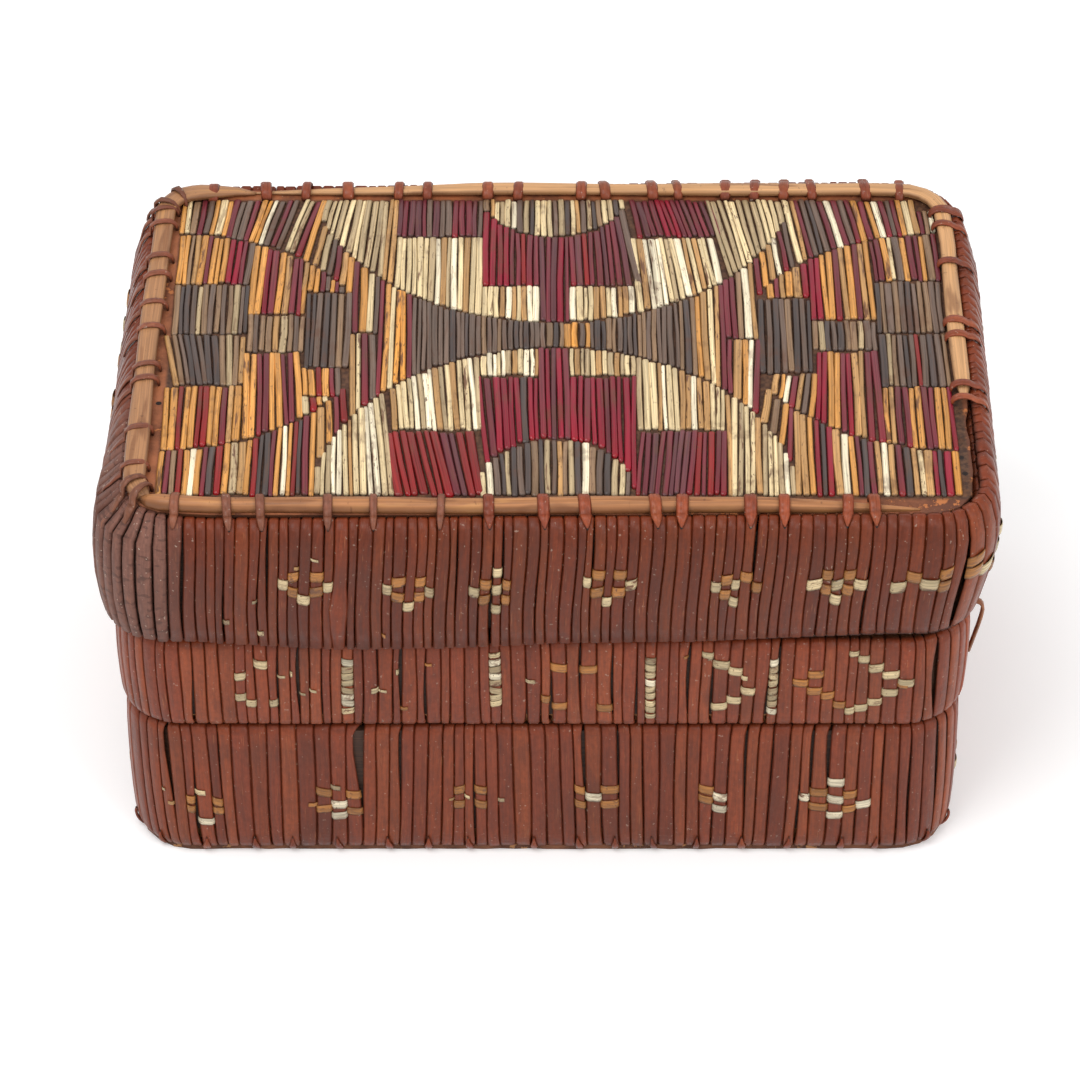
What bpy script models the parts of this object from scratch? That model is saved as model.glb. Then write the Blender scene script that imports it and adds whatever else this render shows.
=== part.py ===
"""Quill box: a lidded birch bark box with quillwork on the lid and walls of root-wound hoops.

Metres, +Z up. The box stands on z = 0, centred on the Z axis, with its front towards -Y.
"""

from math import ceil, cos, hypot, pi, radians, sin, sqrt

import bmesh
import bpy
from mathutils import Vector

# Clearances
GAP = 0.0003
LID_PLAY = 0.0010

# Bottom panel and the two fixed rings, half sizes in plan of the space inside the rings
RING_HALF_X = 0.1043
RING_HALF_Y = 0.0640
RING_CORNER = 0.0120
BOTTOM_THICK = 0.0018
BOTTOM_RIM = 0.0044

# Inner liner, half sizes in plan at its foot
LINER_HALF_X = 0.1020
LINER_HALF_Y = RING_HALF_Y
LINER_CORNER = 0.0120
LINER_FLARE = 0.0010
LINER_THICK = 0.0014
LINER_TOP = 0.1136

# Running stitch round the bottom
STITCH_RADIUS = 0.0007
STITCH_COUNT = 58
STITCH_IN = 0.0022
STITCH_OUT = 0.0052

# The three root-wound rings, bottom and top of each
LOWER_RING_Z = (0.0039, 0.0455)
MIDDLE_RING_Z = (0.0460, 0.0757)
LID_RING_Z = (0.0762, 0.1170)
LOWER_RIBS = 110
MIDDLE_RIBS = 110
LID_RIBS = 140
RIB_DEPTH = 0.0007

# A winding hooks over its core with a lip at the top and one at the bottom
ROOT_LIP = 0.0022
LIP_SLOPE = 0.0006
WALL_THICK = 0.0018
CORE_GAP = 0.0004
CORE_SETBACK = 0.0002

# Offset of the fixed rings' ridges at the top, the middle and the bottom
LOWER_RIDGES = (0.0046, 0.0050, 0.0038)
MIDDLE_RIDGES = (0.0060, 0.0064, 0.0056)

# Lid: its plan, panel and lining. The panel sits a little to the right of the walls below it
LID_HALF_X = 0.1043
LID_HALF_Y = 0.0648
LID_CORNER = 0.0090
LID_SHIFT_TOP = 0.0015
PANEL_Z = (0.1156, 0.1172)
PANEL_RIM = 0.0042
LINING_Z = (0.1143, 0.1153)

# Offset of the lid ring's ridges, of the groove behind them and of the core in that groove, at
# the shoulder, the belly and the waist, with the ridges also at the top and the foot
SHOULDER_DROP = 0.0045
BELLY_DROP = 0.0150
WAIST_RISE = 0.0120
LID_RIDGES = (0.0054, 0.0085, 0.0105, 0.0093, 0.0076)
LID_GROOVE = (0.0050, 0.0066, 0.0060)
LID_CORE_OUTER = (0.0042, 0.0062, 0.0056)
LID_CORE_INNER = (0.0026, 0.0044, 0.0030)
GROOVE_FOOT = (0.0050, 0.0035)
CORE_FOOT = (0.0044, 0.0040)

# Hoop sticks on the panel's edge, and the root lashed over them
HOOP_HALF_WIDTH = 0.0022
HOOP_HEIGHT = 0.0024
HOOP_TAPER = 0.0100
HOOP_FRONT_END_X = 0.0960
HOOP_BACK_SPLIT_X = -0.0785
HOOP_RIGHT_END_Y = -0.0270
LASH_RADIUS = 0.0006
LASH_LOOPS = {"front": 15, "left": 10, "back": 18, "right": 8}

# Quillwork: the field, and the thickness of the flattened quills
QUILL_Z = (0.1175, 0.1182)
FIELD_X = (-0.0970, 0.1050)
FIELD_Y = (-0.0620, 0.0635)
ARC_STEP = 0.0040
HALF_SEAM = 0.6 * GAP

# Loose root end at the right of the middle ring: where it starts, and how it bows outwards
LOOSE_ROOT_FOOT = (RING_HALF_X + 0.0078, -0.0520, 0.0720)
LOOSE_ROOT_LENGTH = 0.0170
LOOSE_ROOT_BOW = 0.0018
LOOSE_ROOT_RADIUS = 0.0008

# The foot of the lowest ring stands this far above the panel, and its stitch runs between
STITCH_Z = (BOTTOM_THICK + LOWER_RING_Z[0]) / 2

CORNER_STEPS = 6

# Signs of the corners' centres, going round: front right, back right, back left, front left
CORNERS = ((1, -1), (1, 1), (-1, 1), (-1, -1))

ROOT_RED = (0.205, 0.058, 0.032)
BARK = (0.420, 0.190, 0.085)
BARK_INSIDE = (0.480, 0.270, 0.140)
SPLINT = (0.560, 0.400, 0.230)
HOOP_TAN = (0.400, 0.165, 0.052)
CREAM = (0.690, 0.560, 0.270)
CRIMSON = (0.250, 0.006, 0.030)
MAROON = (0.115, 0.017, 0.030)
ORANGE = (0.740, 0.350, 0.045)
DARK = (0.075, 0.060, 0.050)


def clear_scene():
    for obj in list(bpy.data.objects):
        bpy.data.objects.remove(obj, do_unlink=True)


def new_collection(name):
    collection = bpy.data.collections.new(name)
    bpy.context.scene.collection.children.link(collection)
    return collection


def new_material(name, color, roughness):
    material = bpy.data.materials.new(name)
    material.use_nodes = True
    shader = material.node_tree.nodes["Principled BSDF"]
    shader.inputs["Base Color"].default_value = (*color, 1.0)
    shader.inputs["Roughness"].default_value = roughness
    shader.inputs["Metallic"].default_value = 0.0
    return material


def add_object(name, data, color, roughness, parent=None):
    """Put a sub-part in the box's collection, with a material of its own."""
    obj = bpy.data.objects.new(name, data)
    PARTS.objects.link(obj)
    data.materials.append(new_material(name, color, roughness))
    obj.parent = parent
    return obj


# Rounded rectangles. A station runs from 0 to 8 round the outline: whole numbers are the joints
# between the four sides (0, 2, 4 and 6) and the four corners (1, 3, 5 and 7).


def outline_point(station, half_x, half_y, corner, shift=0.0):
    part = int(station) % 8
    along = station - int(station)
    side = part // 2
    start = CORNERS[side]
    end = CORNERS[(side + 1) % 4]
    turn = 0.0
    if part % 2:
        start = end
        turn = along
    angle = radians(90 * (side + turn))
    sign_x = start[0] + (end[0] - start[0]) * along
    sign_y = start[1] + (end[1] - start[1]) * along
    x = sign_x * (half_x - corner) + corner * cos(angle)
    y = sign_y * (half_y - corner) + corner * sin(angle)
    return x + shift, y


def coarse_stations(steps=CORNER_STEPS):
    """One station at the end of each side, and the corners in equal steps."""
    stations = []
    for side in (0, 2, 4, 6):
        stations.append(side)
        stations += [side + 1 + step / steps for step in range(steps)]
    return stations


def even_stations(count, half_x, half_y, corner):
    """Stations spaced evenly along the outline, starting at the front end of the right side."""
    sides = (2 * (half_y - corner), 2 * (half_x - corner))
    bend = corner * pi / 2
    lengths = [sides[0], bend, sides[1], bend, sides[0], bend, sides[1], bend]
    total = sum(lengths)
    stations = []
    for index in range(count):
        left = total * index / count
        part = 0
        while left > lengths[part]:
            left -= lengths[part]
            part += 1
        stations.append(part + left / lengths[part])
    return stations


def skin(bm, rows, closed=False):
    """Faces between neighbouring rows of points, each row a closed loop."""
    pairs = list(zip(rows, rows[1:]))
    if closed:
        pairs.append((rows[-1], rows[0]))
    for upper, lower in pairs:
        count = len(upper)
        for i in range(count):
            j = (i + 1) % count
            bm.faces.new((upper[i], lower[i], lower[j], upper[j]))


def stitch(bm, fine, fine_stations, coarse, coarse_stations):
    """Triangles between two closed rows whose points stand at unlike stations, both from 0."""
    ends = (fine_stations[1:] + [8.0], coarse_stations[1:] + [8.0])
    i = j = 0
    while i < len(fine) or j < len(coarse):
        a, b = fine[i % len(fine)], coarse[j % len(coarse)]
        if j == len(coarse) or (i < len(fine) and ends[0][i] <= ends[1][j]):
            i += 1
            bm.faces.new((a, fine[i % len(fine)], b))
        else:
            j += 1
            bm.faces.new((a, coarse[j % len(coarse)], b))


def finish_mesh(bm, name):
    bmesh.ops.recalc_face_normals(bm, faces=bm.faces)
    mesh = bpy.data.meshes.new(name)
    bm.to_mesh(mesh)
    bm.free()
    return mesh


class Plan:
    """The rounded rectangle that a ring or tube follows, grown by an offset."""

    def __init__(self, half_x, half_y, corner):
        self.half_x = half_x
        self.half_y = half_y
        self.corner = corner

    def point(self, station, offset, z, shift=0.0, inset=0.0):
        grow = offset - inset
        x, y = outline_point(
            station, self.half_x + grow, self.half_y + grow, self.corner + grow, shift
        )
        return x, y, z

    def even(self, count):
        return even_stations(count, self.half_x, self.half_y, self.corner)


LINER_PLAN = Plan(LINER_HALF_X, LINER_HALF_Y, LINER_CORNER)
RING_PLAN = Plan(RING_HALF_X, RING_HALF_Y, RING_CORNER)
LID_PLAN = Plan(LID_HALF_X, LID_HALF_Y, LID_CORNER)


def liner_offset(z):
    """The liner's outer face flares evenly from its foot to its top."""
    return LINER_FLARE * z / LINER_TOP


def ribbed_ring(name, plan, ribs, outer_rows, inner_rows, parent=None):
    """Root winding: an outer wall with a ridge and a valley for each root, and a plain inner wall
    that hooks over the top and bottom of the core. Rows are (offset, z, shift), top row first."""
    bm = bmesh.new()
    fine = plan.even(2 * ribs)
    outer = []
    for offset, z, shift in outer_rows:
        row = []
        for index, station in enumerate(fine):
            inset = RIB_DEPTH if index % 2 else 0.0
            row.append(bm.verts.new(plan.point(station, offset, z, shift, inset)))
        outer.append(row)
    inner = []
    for offset, z, shift in inner_rows:
        inner.append([bm.verts.new(plan.point(s, offset, z, shift)) for s in coarse_stations()])
    skin(bm, outer)
    skin(bm, inner)
    for end in (0, -1):
        stitch(bm, outer[end], fine, inner[end], coarse_stations())
    return add_object(name, finish_mesh(bm, name), ROOT_RED, 0.45, parent)


def core_ring(name, plan, section, parent=None):
    """A bent splint with the same section all round. The section is (offset, z, shift) points."""
    bm = bmesh.new()
    rows = []
    for offset, z, shift in section:
        rows.append([bm.verts.new(plan.point(s, offset, z, shift)) for s in coarse_stations()])
    skin(bm, rows, closed=True)
    return add_object(name, finish_mesh(bm, name), SPLINT, 0.7, parent)


def flat_plate(name, points, z_range, color, roughness, parent=None):
    """A flat piece cut along an outline: a filled 2D curve, extruded both ways from its middle."""
    curve = bpy.data.curves.new(name, "CURVE")
    curve.dimensions = "2D"
    curve.fill_mode = "BOTH"
    curve.extrude = (z_range[1] - z_range[0]) / 2
    spline = curve.splines.new("POLY")
    spline.points.add(len(points) - 1)
    for point, (x, y) in zip(spline.points, points):
        point.co = (x, y, 0.0, 1.0)
    spline.use_cyclic_u = True
    plate = add_object(name, curve, color, roughness, parent)
    plate.location.z = (z_range[0] + z_range[1]) / 2
    return plate


def root_tube(name, points, radius, closed=False, parent=None):
    """A root as a square-sided tube along its points."""
    curve = bpy.data.curves.new(name, "CURVE")
    curve.dimensions = "3D"
    curve.bevel_depth = radius
    curve.bevel_resolution = 0
    curve.use_fill_caps = not closed
    curve.twist_mode = "Z_UP"
    spline = curve.splines.new("POLY")
    spline.points.add(len(points) - 1)
    for point, place in zip(spline.points, points):
        point.co = (*place, 1.0)
    spline.use_cyclic_u = closed
    return add_object(name, curve, ROOT_RED, 0.5, parent)


# Base


def make_bottom_panel():
    points = [RING_PLAN.point(s, BOTTOM_RIM, 0.0)[:2] for s in coarse_stations()]
    flat_plate("bottom_panel", points, (0.0, BOTTOM_THICK), BARK, 0.75)


def make_inner_liner():
    """A tube of bark: its outer face, thickened inwards."""
    bm = bmesh.new()
    rows = []
    for z in (LINER_TOP, BOTTOM_THICK + GAP):
        offset = liner_offset(z)
        rows.append([bm.verts.new(LINER_PLAN.point(s, offset, z)) for s in coarse_stations()])
    skin(bm, rows)
    liner = add_object("inner_liner", finish_mesh(bm, "inner_liner"), BARK_INSIDE, 0.7)
    solid = liner.modifiers.new("thickness", "SOLIDIFY")
    solid.thickness = LINER_THICK
    solid.offset = -1.0


def make_base_ring(name, ribs, z_range, ridges):
    """One of the two fixed rings, from its ridges' offset at the top, the middle and the bottom."""
    low, high = z_range
    middle = (low + high) / 2
    outer_rows = [(ridges[0], high, 0.0), (ridges[1], middle, 0.0), (ridges[2], low, 0.0)]
    lip = liner_offset(high) + GAP
    groove_top = high - ROOT_LIP
    groove_low = low + ROOT_LIP
    groove = [ridge - WALL_THICK for ridge in ridges]
    inner_rows = [
        (lip, high, 0.0),
        (lip, groove_top, 0.0),
        (groove[0], groove_top - LIP_SLOPE, 0.0),
        (groove[1], middle, 0.0),
        (groove[2], groove_low + LIP_SLOPE, 0.0),
        (lip, groove_low, 0.0),
        (lip, low, 0.0),
    ]
    ribbed_ring(f"{name}_root_wrap", RING_PLAN, ribs, outer_rows, inner_rows)
    inner_face = lip + CORE_SETBACK
    core = [
        (inner_face, groove_top - GAP, 0.0),
        (groove[0] - CORE_GAP, groove_top - LIP_SLOPE - GAP, 0.0),
        (groove[1] - CORE_GAP, middle, 0.0),
        (groove[2] - CORE_GAP, groove_low + LIP_SLOPE + GAP, 0.0),
        (inner_face, groove_low + GAP, 0.0),
    ]
    core_ring(f"{name}_core", RING_PLAN, core)


def make_bottom_stitching():
    """A running root that dips under the lowest ring and comes out again, all the way round."""
    points = []
    for index, station in enumerate(RING_PLAN.even(4 * STITCH_COUNT)):
        reach = (STITCH_IN, STITCH_OUT, STITCH_OUT, STITCH_IN)[index % 4]
        points.append(RING_PLAN.point(station, reach, STITCH_Z))
    root_tube("bottom_stitching", points, STITCH_RADIUS, closed=True)


def make_loose_root():
    """The end of one root, sprung out of the middle ring at the right in a flat bow."""
    steps = 8
    points = []
    for step in range(steps + 1):
        t = step / steps
        drop = Vector((LOOSE_ROOT_BOW * sin(pi * t), 0.0, -LOOSE_ROOT_LENGTH * t))
        points.append(Vector(LOOSE_ROOT_FOOT) + drop)
    root_tube("loose_root", points, LOOSE_ROOT_RADIUS)


# Lid


def make_lid_panel():
    points = [LID_PLAN.point(s, PANEL_RIM, 0.0, LID_SHIFT_TOP)[:2] for s in coarse_stations()]
    flat_plate("lid_panel", points, PANEL_Z, BARK, 0.7, LID)


def make_lid_lining():
    rim = lid_lip() - 2 * GAP
    points = [LID_PLAN.point(s, rim, 0.0, LID_SHIFT_TOP)[:2] for s in coarse_stations()]
    flat_plate("lid_lining", points, LINING_Z, BARK_INSIDE, 0.7, LID)


def lid_lip():
    """Offset of the lid ring's inner lips, which slide past the liner with some play."""
    return LINER_HALF_Y + LINER_FLARE + LID_PLAY - LID_HALF_Y


def make_lid_ring():
    low, high = LID_RING_Z
    lip = lid_lip()
    ledge = PANEL_Z[0] - GAP
    top = LID_SHIFT_TOP
    belly = high - BELLY_DROP
    waist = low + WAIST_RISE
    groove_top = ledge - WALL_THICK
    outer_rows = [
        (LID_RIDGES[0], high, top),
        (LID_RIDGES[1], high - SHOULDER_DROP, top / 2),
        (LID_RIDGES[2], belly, 0.0),
        (LID_RIDGES[3], waist, 0.0),
        (LID_RIDGES[4], low, 0.0),
    ]
    inner_rows = [
        (PANEL_RIM + GAP, high, top),
        (PANEL_RIM + GAP, ledge, top),
        (lip, ledge, top),
        (lip, groove_top, top),
        (LID_GROOVE[0], groove_top - 2 * LIP_SLOPE, top / 2),
        (LID_GROOVE[1], belly, 0.0),
        (LID_GROOVE[2], waist, 0.0),
        (GROOVE_FOOT[0], low + GROOVE_FOOT[1], 0.0),
        (lip, low + ROOT_LIP, 0.0),
        (lip, low, 0.0),
    ]
    ribbed_ring("lid_ring_root_wrap", LID_PLAN, LID_RIBS, outer_rows, inner_rows, LID)
    core = [
        (LID_CORE_INNER[0], groove_top - LIP_SLOPE - CORE_GAP, top),
        (LID_CORE_OUTER[0], groove_top - 2 * LIP_SLOPE - CORE_GAP, top / 2),
        (LID_CORE_OUTER[1], belly, 0.0),
        (LID_CORE_OUTER[2], waist, 0.0),
        (CORE_FOOT[0], low + CORE_FOOT[1], 0.0),
        (lip + CORE_GAP, low + ROOT_LIP + CORE_GAP, 0.0),
        (LID_CORE_INNER[2], waist, 0.0),
        (LID_CORE_INNER[1], belly, 0.0),
    ]
    core_ring("lid_ring_core", LID_PLAN, core, LID)


def hoop_point(station, inset=0.0):
    """A point of the hoop's middle line, over the panel's edge."""
    offset = PANEL_RIM - HOOP_HALF_WIDTH - inset
    return LID_PLAN.point(station, offset, PANEL_Z[1] + GAP, LID_SHIFT_TOP)[:2]


def hoop_profile():
    """Half-round section of a split stick: flat below, round above."""
    curve = bpy.data.curves.new("hoop_profile", "CURVE")
    curve.dimensions = "2D"
    spline = curve.splines.new("POLY")
    steps = 6
    spline.points.add(steps)
    for step, point in enumerate(spline.points):
        angle = pi * (1 - step / steps)
        point.co = (HOOP_HALF_WIDTH * cos(angle), HOOP_HEIGHT * sin(angle), 0.0, 1.0)
    spline.use_cyclic_u = True
    profile = bpy.data.objects.new("hoop_profile", curve)
    GUIDES.objects.link(profile)
    profile.hide_render = True
    profile.display_type = "WIRE"
    return profile


def hoop_stick(name, points, slender, profile):
    """A split stick along its points. slender thins it at its start and end."""
    curve = bpy.data.curves.new(name, "CURVE")
    curve.dimensions = "3D"
    curve.twist_mode = "Z_UP"
    curve.bevel_mode = "OBJECT"
    curve.bevel_object = profile
    curve.use_fill_caps = True
    spline = curve.splines.new("POLY")
    spline.points.add(len(points) - 1)
    for point, (x, y) in zip(spline.points, points):
        point.co = (x, y, PANEL_Z[1] + GAP, 1.0)
        point.radius = 1.0
    spline.points[0].radius = slender[0]
    spline.points[-1].radius = slender[1]
    add_object(name, curve, HOOP_TAN, 0.5, LID)


def corner_points(corner):
    return [hoop_point(corner + step / CORNER_STEPS) for step in range(CORNER_STEPS + 1)]


def make_hoops():
    profile = hoop_profile()
    front_y = hoop_point(6.5)[1]
    back_y = hoop_point(2.5)[1]
    left_x = hoop_point(4.5)[0]
    right_x = hoop_point(0.5)[0]
    front = corner_points(5)[4:]
    front += [(x, front_y) for x in (0.0, HOOP_FRONT_END_X - HOOP_TAPER, HOOP_FRONT_END_X)]
    hoop_stick("hoop_front", front, (0.8, 0.5), profile)
    left = [(HOOP_BACK_SPLIT_X, back_y), (HOOP_BACK_SPLIT_X - HOOP_TAPER, back_y)]
    left += corner_points(3)
    left += [(left_x, 0.0)]
    left += corner_points(5)[:4]
    hoop_stick("hoop_left", left, (0.5, 0.8), profile)
    back = [(right_x, HOOP_RIGHT_END_Y), (right_x, HOOP_RIGHT_END_Y + HOOP_TAPER)]
    back += corner_points(1)
    back += [(0.0, back_y), (HOOP_BACK_SPLIT_X + HOOP_TAPER, back_y)]
    back += [(HOOP_BACK_SPLIT_X + 3 * GAP, back_y)]
    hoop_stick("hoop_back_right", back, (0.7, 0.5), profile)


def running_lash(side, start, end, outward):
    """Root that runs beside the hoop and crosses over it at every loop, by turns out and in."""
    start, end, outward = Vector(start), Vector(end), Vector(outward)
    beside = HOOP_HALF_WIDTH + GAP + LASH_RADIUS * 1.5
    low_out = PANEL_Z[1] + GAP + LASH_RADIUS
    low_in = QUILL_Z[1] + GAP + LASH_RADIUS
    over = PANEL_Z[1] + HOOP_HEIGHT + 2 * GAP + LASH_RADIUS
    shoulder = over - 0.0004
    crossing = [(-1.0, low_in), (-0.55, shoulder), (0.0, over), (0.65, shoulder), (1.0, low_out)]
    loops = LASH_LOOPS[side]
    points = []
    for loop in range(loops):
        middle = start.lerp(end, (loop + 0.5) / loops)
        steps = crossing if loop % 2 else crossing[::-1]
        for reach, z in steps:
            place = middle + outward * beside * reach
            points.append((place.x, place.y, z))
    root_tube(f"lashing_{side}", points, LASH_RADIUS, parent=LID)


def make_lashings():
    front_y = hoop_point(6.5)[1]
    back_y = hoop_point(2.5)[1]
    left_x = hoop_point(4.5)[0]
    right_x = hoop_point(0.5)[0]
    running_lash("front", (-0.0970, front_y), (0.0900, front_y), (0, -1))
    running_lash("back", (-0.0800, back_y), (0.0900, back_y), (0, 1))
    running_lash("left", (left_x, 0.0530), (left_x, -0.0530), (-1, 0))
    running_lash("right", (right_x, 0.0520), (right_x, -0.0240), (1, 0))


# Quillwork. Each area is a run of strips laid side by side along X. A strip is (left, right, low,
# high), and low and high are either a place in Y or an arc that bounds the area there.


class Arc:
    """Half an ellipse over X: side 1 is its upper half, -1 its lower half."""

    def __init__(self, x, y, reach_x, reach_y, side):
        self.x = x
        self.y = y
        self.reach_x = reach_x
        self.reach_y = reach_y
        self.side = side

    def at(self, x, grow):
        across = (x - self.x) / (self.reach_x + grow)
        rise = sqrt(max(0.0, 1.0 - across * across))
        return self.y + self.side * (self.reach_y + grow) * rise


def bound(limit, x, direction):
    """Y of a strip's low (1) or high (-1) end at x, drawn in by half a seam."""
    if isinstance(limit, Arc):
        y = limit.at(x, HALF_SEAM * direction * limit.side)
    else:
        y = limit + HALF_SEAM * direction
    return min(max(y, FIELD_Y[0] + HALF_SEAM), FIELD_Y[1] - HALF_SEAM)


def area_outline(strips):
    """Round one area: its low edge from left to right, then its high edge back."""
    low_edge, high_edge = [], []
    last = len(strips) - 1
    for index, (left, right, low, high) in enumerate(strips):
        left += HALF_SEAM if index == 0 else 0.0
        right -= HALF_SEAM if index == last else 0.0
        curved = isinstance(low, Arc) or isinstance(high, Arc)
        steps = max(1, ceil((right - left) / ARC_STEP)) if curved else 1
        for step in range(steps + 1):
            x = left + (right - left) * step / steps
            if step in (0, steps) or isinstance(low, Arc):
                low_edge.append((x, bound(low, x, 1)))
            if step in (0, steps) or isinstance(high, Arc):
                high_edge.append((x, bound(high, x, -1)))
    ring = low_edge + high_edge[::-1]
    kept = []
    for place in ring:
        if not kept or hypot(place[0] - kept[-1][0], place[1] - kept[-1][1]) > 1e-6:
            kept.append(place)
    return kept


def quill_area(name, strips, color):
    flat_plate(name, area_outline(strips), QUILL_Z, color, 0.4, LID)


def make_quillwork():
    left_edge, right_edge = FIELD_X
    front, back = FIELD_Y
    axis = 0.0030

    # The two big half circles, the two small ones at the edges, and the half circles at the sides
    front_arc = Arc(axis, -0.0625, 0.0610, 0.0610, 1)
    back_arc = Arc(axis, 0.0743, 0.0650, 0.0650, -1)
    front_small = Arc(axis, -0.0588, 0.0195, 0.0195, 1)
    back_small = Arc(axis, 0.0665, 0.0198, 0.0198, -1)
    left_back = Arc(-0.0980, 0.0020, 0.0520, 0.0460, 1)
    left_front = Arc(-0.0980, 0.0020, 0.0520, 0.0460, -1)
    right_back = Arc(0.1060, 0.0020, 0.0540, 0.0460, 1)
    right_front = Arc(0.1060, 0.0020, 0.0540, 0.0460, -1)

    # Ends of the cross's steps along X, and its shoulders in Y
    arm, step, stem, stem_end, step_end, arm_end = (
        -0.0390,
        -0.0160,
        -0.0010,
        0.0070,
        0.0240,
        0.0465,
    )
    front_foot, front_shoulder = -0.0360, -0.0135
    back_foot, back_shoulder = 0.0465, 0.0250

    quill_area(
        "front_cross",
        [
            (arm, step, front, front_foot),
            (step, stem, front_small, front_shoulder),
            (stem, stem_end, front_small, front_arc),
            (stem_end, step_end, front_small, front_shoulder),
            (step_end, arm_end, front, front_foot),
        ],
        CRIMSON,
    )
    small_left, small_right = step + GAP / 2, 0.0220
    quill_area("front_small_half_circle", [(small_left, small_right, front, front_small)], DARK)
    quill_area(
        "front_cream_left",
        [
            (-0.0575, arm, front, front_arc),
            (arm, step, front_foot, front_arc),
            (step, stem, front_shoulder, front_arc),
        ],
        CREAM,
    )
    quill_area(
        "front_cream_right",
        [
            (stem_end, step_end, front_shoulder, front_arc),
            (step_end, arm_end, front_foot, front_arc),
            (arm_end, 0.0635, front, front_arc),
        ],
        CREAM,
    )
    quill_area(
        "back_cross",
        [
            (arm, step, back_foot, back),
            (step, stem, back_shoulder, back_small),
            (stem, stem_end, back_arc, back_small),
            (stem_end, step_end, back_shoulder, back_small),
            (step_end, arm_end, back_foot, back),
        ],
        MAROON,
    )
    quill_area("back_small_half_circle", [(small_left, small_right, back_small, back)], DARK)
    quill_area(
        "back_cream_left",
        [
            (-0.0600, arm, back_arc, back),
            (arm, step, back_arc, back_foot),
            (step, stem, back_arc, back_shoulder),
        ],
        CREAM,
    )
    quill_area(
        "back_cream_right",
        [
            (stem_end, step_end, back_arc, back_shoulder),
            (step_end, arm_end, back_arc, back_foot),
            (arm_end, 0.0660, back_arc, back),
        ],
        CREAM,
    )
    quill_area("bow_tie", [(-0.0340, 0.0400, front_arc, back_arc)], DARK)
    quill_area("left_bow_stripes", [(-0.0500, -0.0340, front_arc, back_arc)], ORANGE)
    quill_area("right_bow_stripes", [(0.0400, 0.0560, front_arc, back_arc)], ORANGE)
    quill_area(
        "left_steps",
        [
            (left_edge, -0.0770, -0.0175, 0.0255),
            (-0.0770, -0.0620, -0.0035, 0.0125),
            (-0.0620, -0.0500, -0.0100, 0.0190),
        ],
        DARK,
    )
    quill_area(
        "left_back_stripes",
        [
            (left_edge, -0.0770, 0.0255, left_back),
            (-0.0770, -0.0620, 0.0125, left_back),
            (-0.0620, -0.0520, 0.0190, left_back),
        ],
        ORANGE,
    )
    quill_area(
        "left_front_stripes",
        [
            (left_edge, -0.0770, left_front, -0.0175),
            (-0.0770, -0.0620, left_front, -0.0035),
            (-0.0620, -0.0520, left_front, -0.0100),
        ],
        MAROON,
    )
    quill_area(
        "right_steps",
        [
            (0.0560, 0.0700, -0.0125, 0.0195),
            (0.0700, 0.0870, -0.0030, 0.0100),
            (0.0870, right_edge, -0.0180, 0.0270),
        ],
        DARK,
    )
    quill_area(
        "right_back_stripes",
        [
            (0.0590, 0.0700, 0.0195, right_back),
            (0.0700, 0.0870, 0.0100, right_back),
            (0.0870, right_edge, 0.0270, right_back),
        ],
        ORANGE,
    )
    quill_area(
        "right_front_stripes",
        [
            (0.0590, 0.0700, right_front, -0.0125),
            (0.0700, 0.0870, right_front, -0.0030),
            (0.0870, right_edge, right_front, -0.0180),
        ],
        MAROON,
    )
    quill_area(
        "corner_back_left",
        [(left_edge, -0.0600, left_back, back), (-0.0600, -0.0500, left_back, back_arc)],
        ORANGE,
    )
    quill_area(
        "corner_front_left",
        [(left_edge, -0.0575, front, left_front), (-0.0575, -0.0500, front_arc, left_front)],
        MAROON,
    )
    # The hoop bends across this corner, so the last quills stop short of the back edge
    bend = right_edge - 0.0045
    quill_area(
        "corner_back_right",
        [
            (0.0560, 0.0660, right_back, back_arc),
            (0.0660, bend, right_back, back),
            (bend, right_edge, right_back, back - 0.0050),
        ],
        ORANGE,
    )
    quill_area(
        "corner_front_right",
        [(0.0560, 0.0635, front_arc, right_front), (0.0635, right_edge, front, right_front)],
        MAROON,
    )


clear_scene()
PARTS = new_collection("quill_box")
GUIDES = new_collection("guides")
LID = bpy.data.objects.new("lid", None)
PARTS.objects.link(LID)

make_bottom_panel()
make_inner_liner()
make_base_ring("lower_ring", LOWER_RIBS, LOWER_RING_Z, LOWER_RIDGES)
make_base_ring("middle_ring", MIDDLE_RIBS, MIDDLE_RING_Z, MIDDLE_RIDGES)
make_bottom_stitching()
make_loose_root()
make_lid_panel()
make_lid_lining()
make_lid_ring()
make_hoops()
make_lashings()
make_quillwork()
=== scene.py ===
# %% [markdown]
# # A bark box worked with quills
#
# This box is made of three things: birch bark for the lid, the bottom and the tube inside, split
# spruce root wound side by side round three bent hoops of wood, and dyed porcupine quills that are
# laid flat on the lid. The frame that is loaded here holds its measured solids, and they don't move.
# Every root and every quill that an eye can count is made here, one by one, and put where the solid
# that it stands for is.

# %% Load the frame
import random
from math import pi, radians, sin, sqrt

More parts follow.
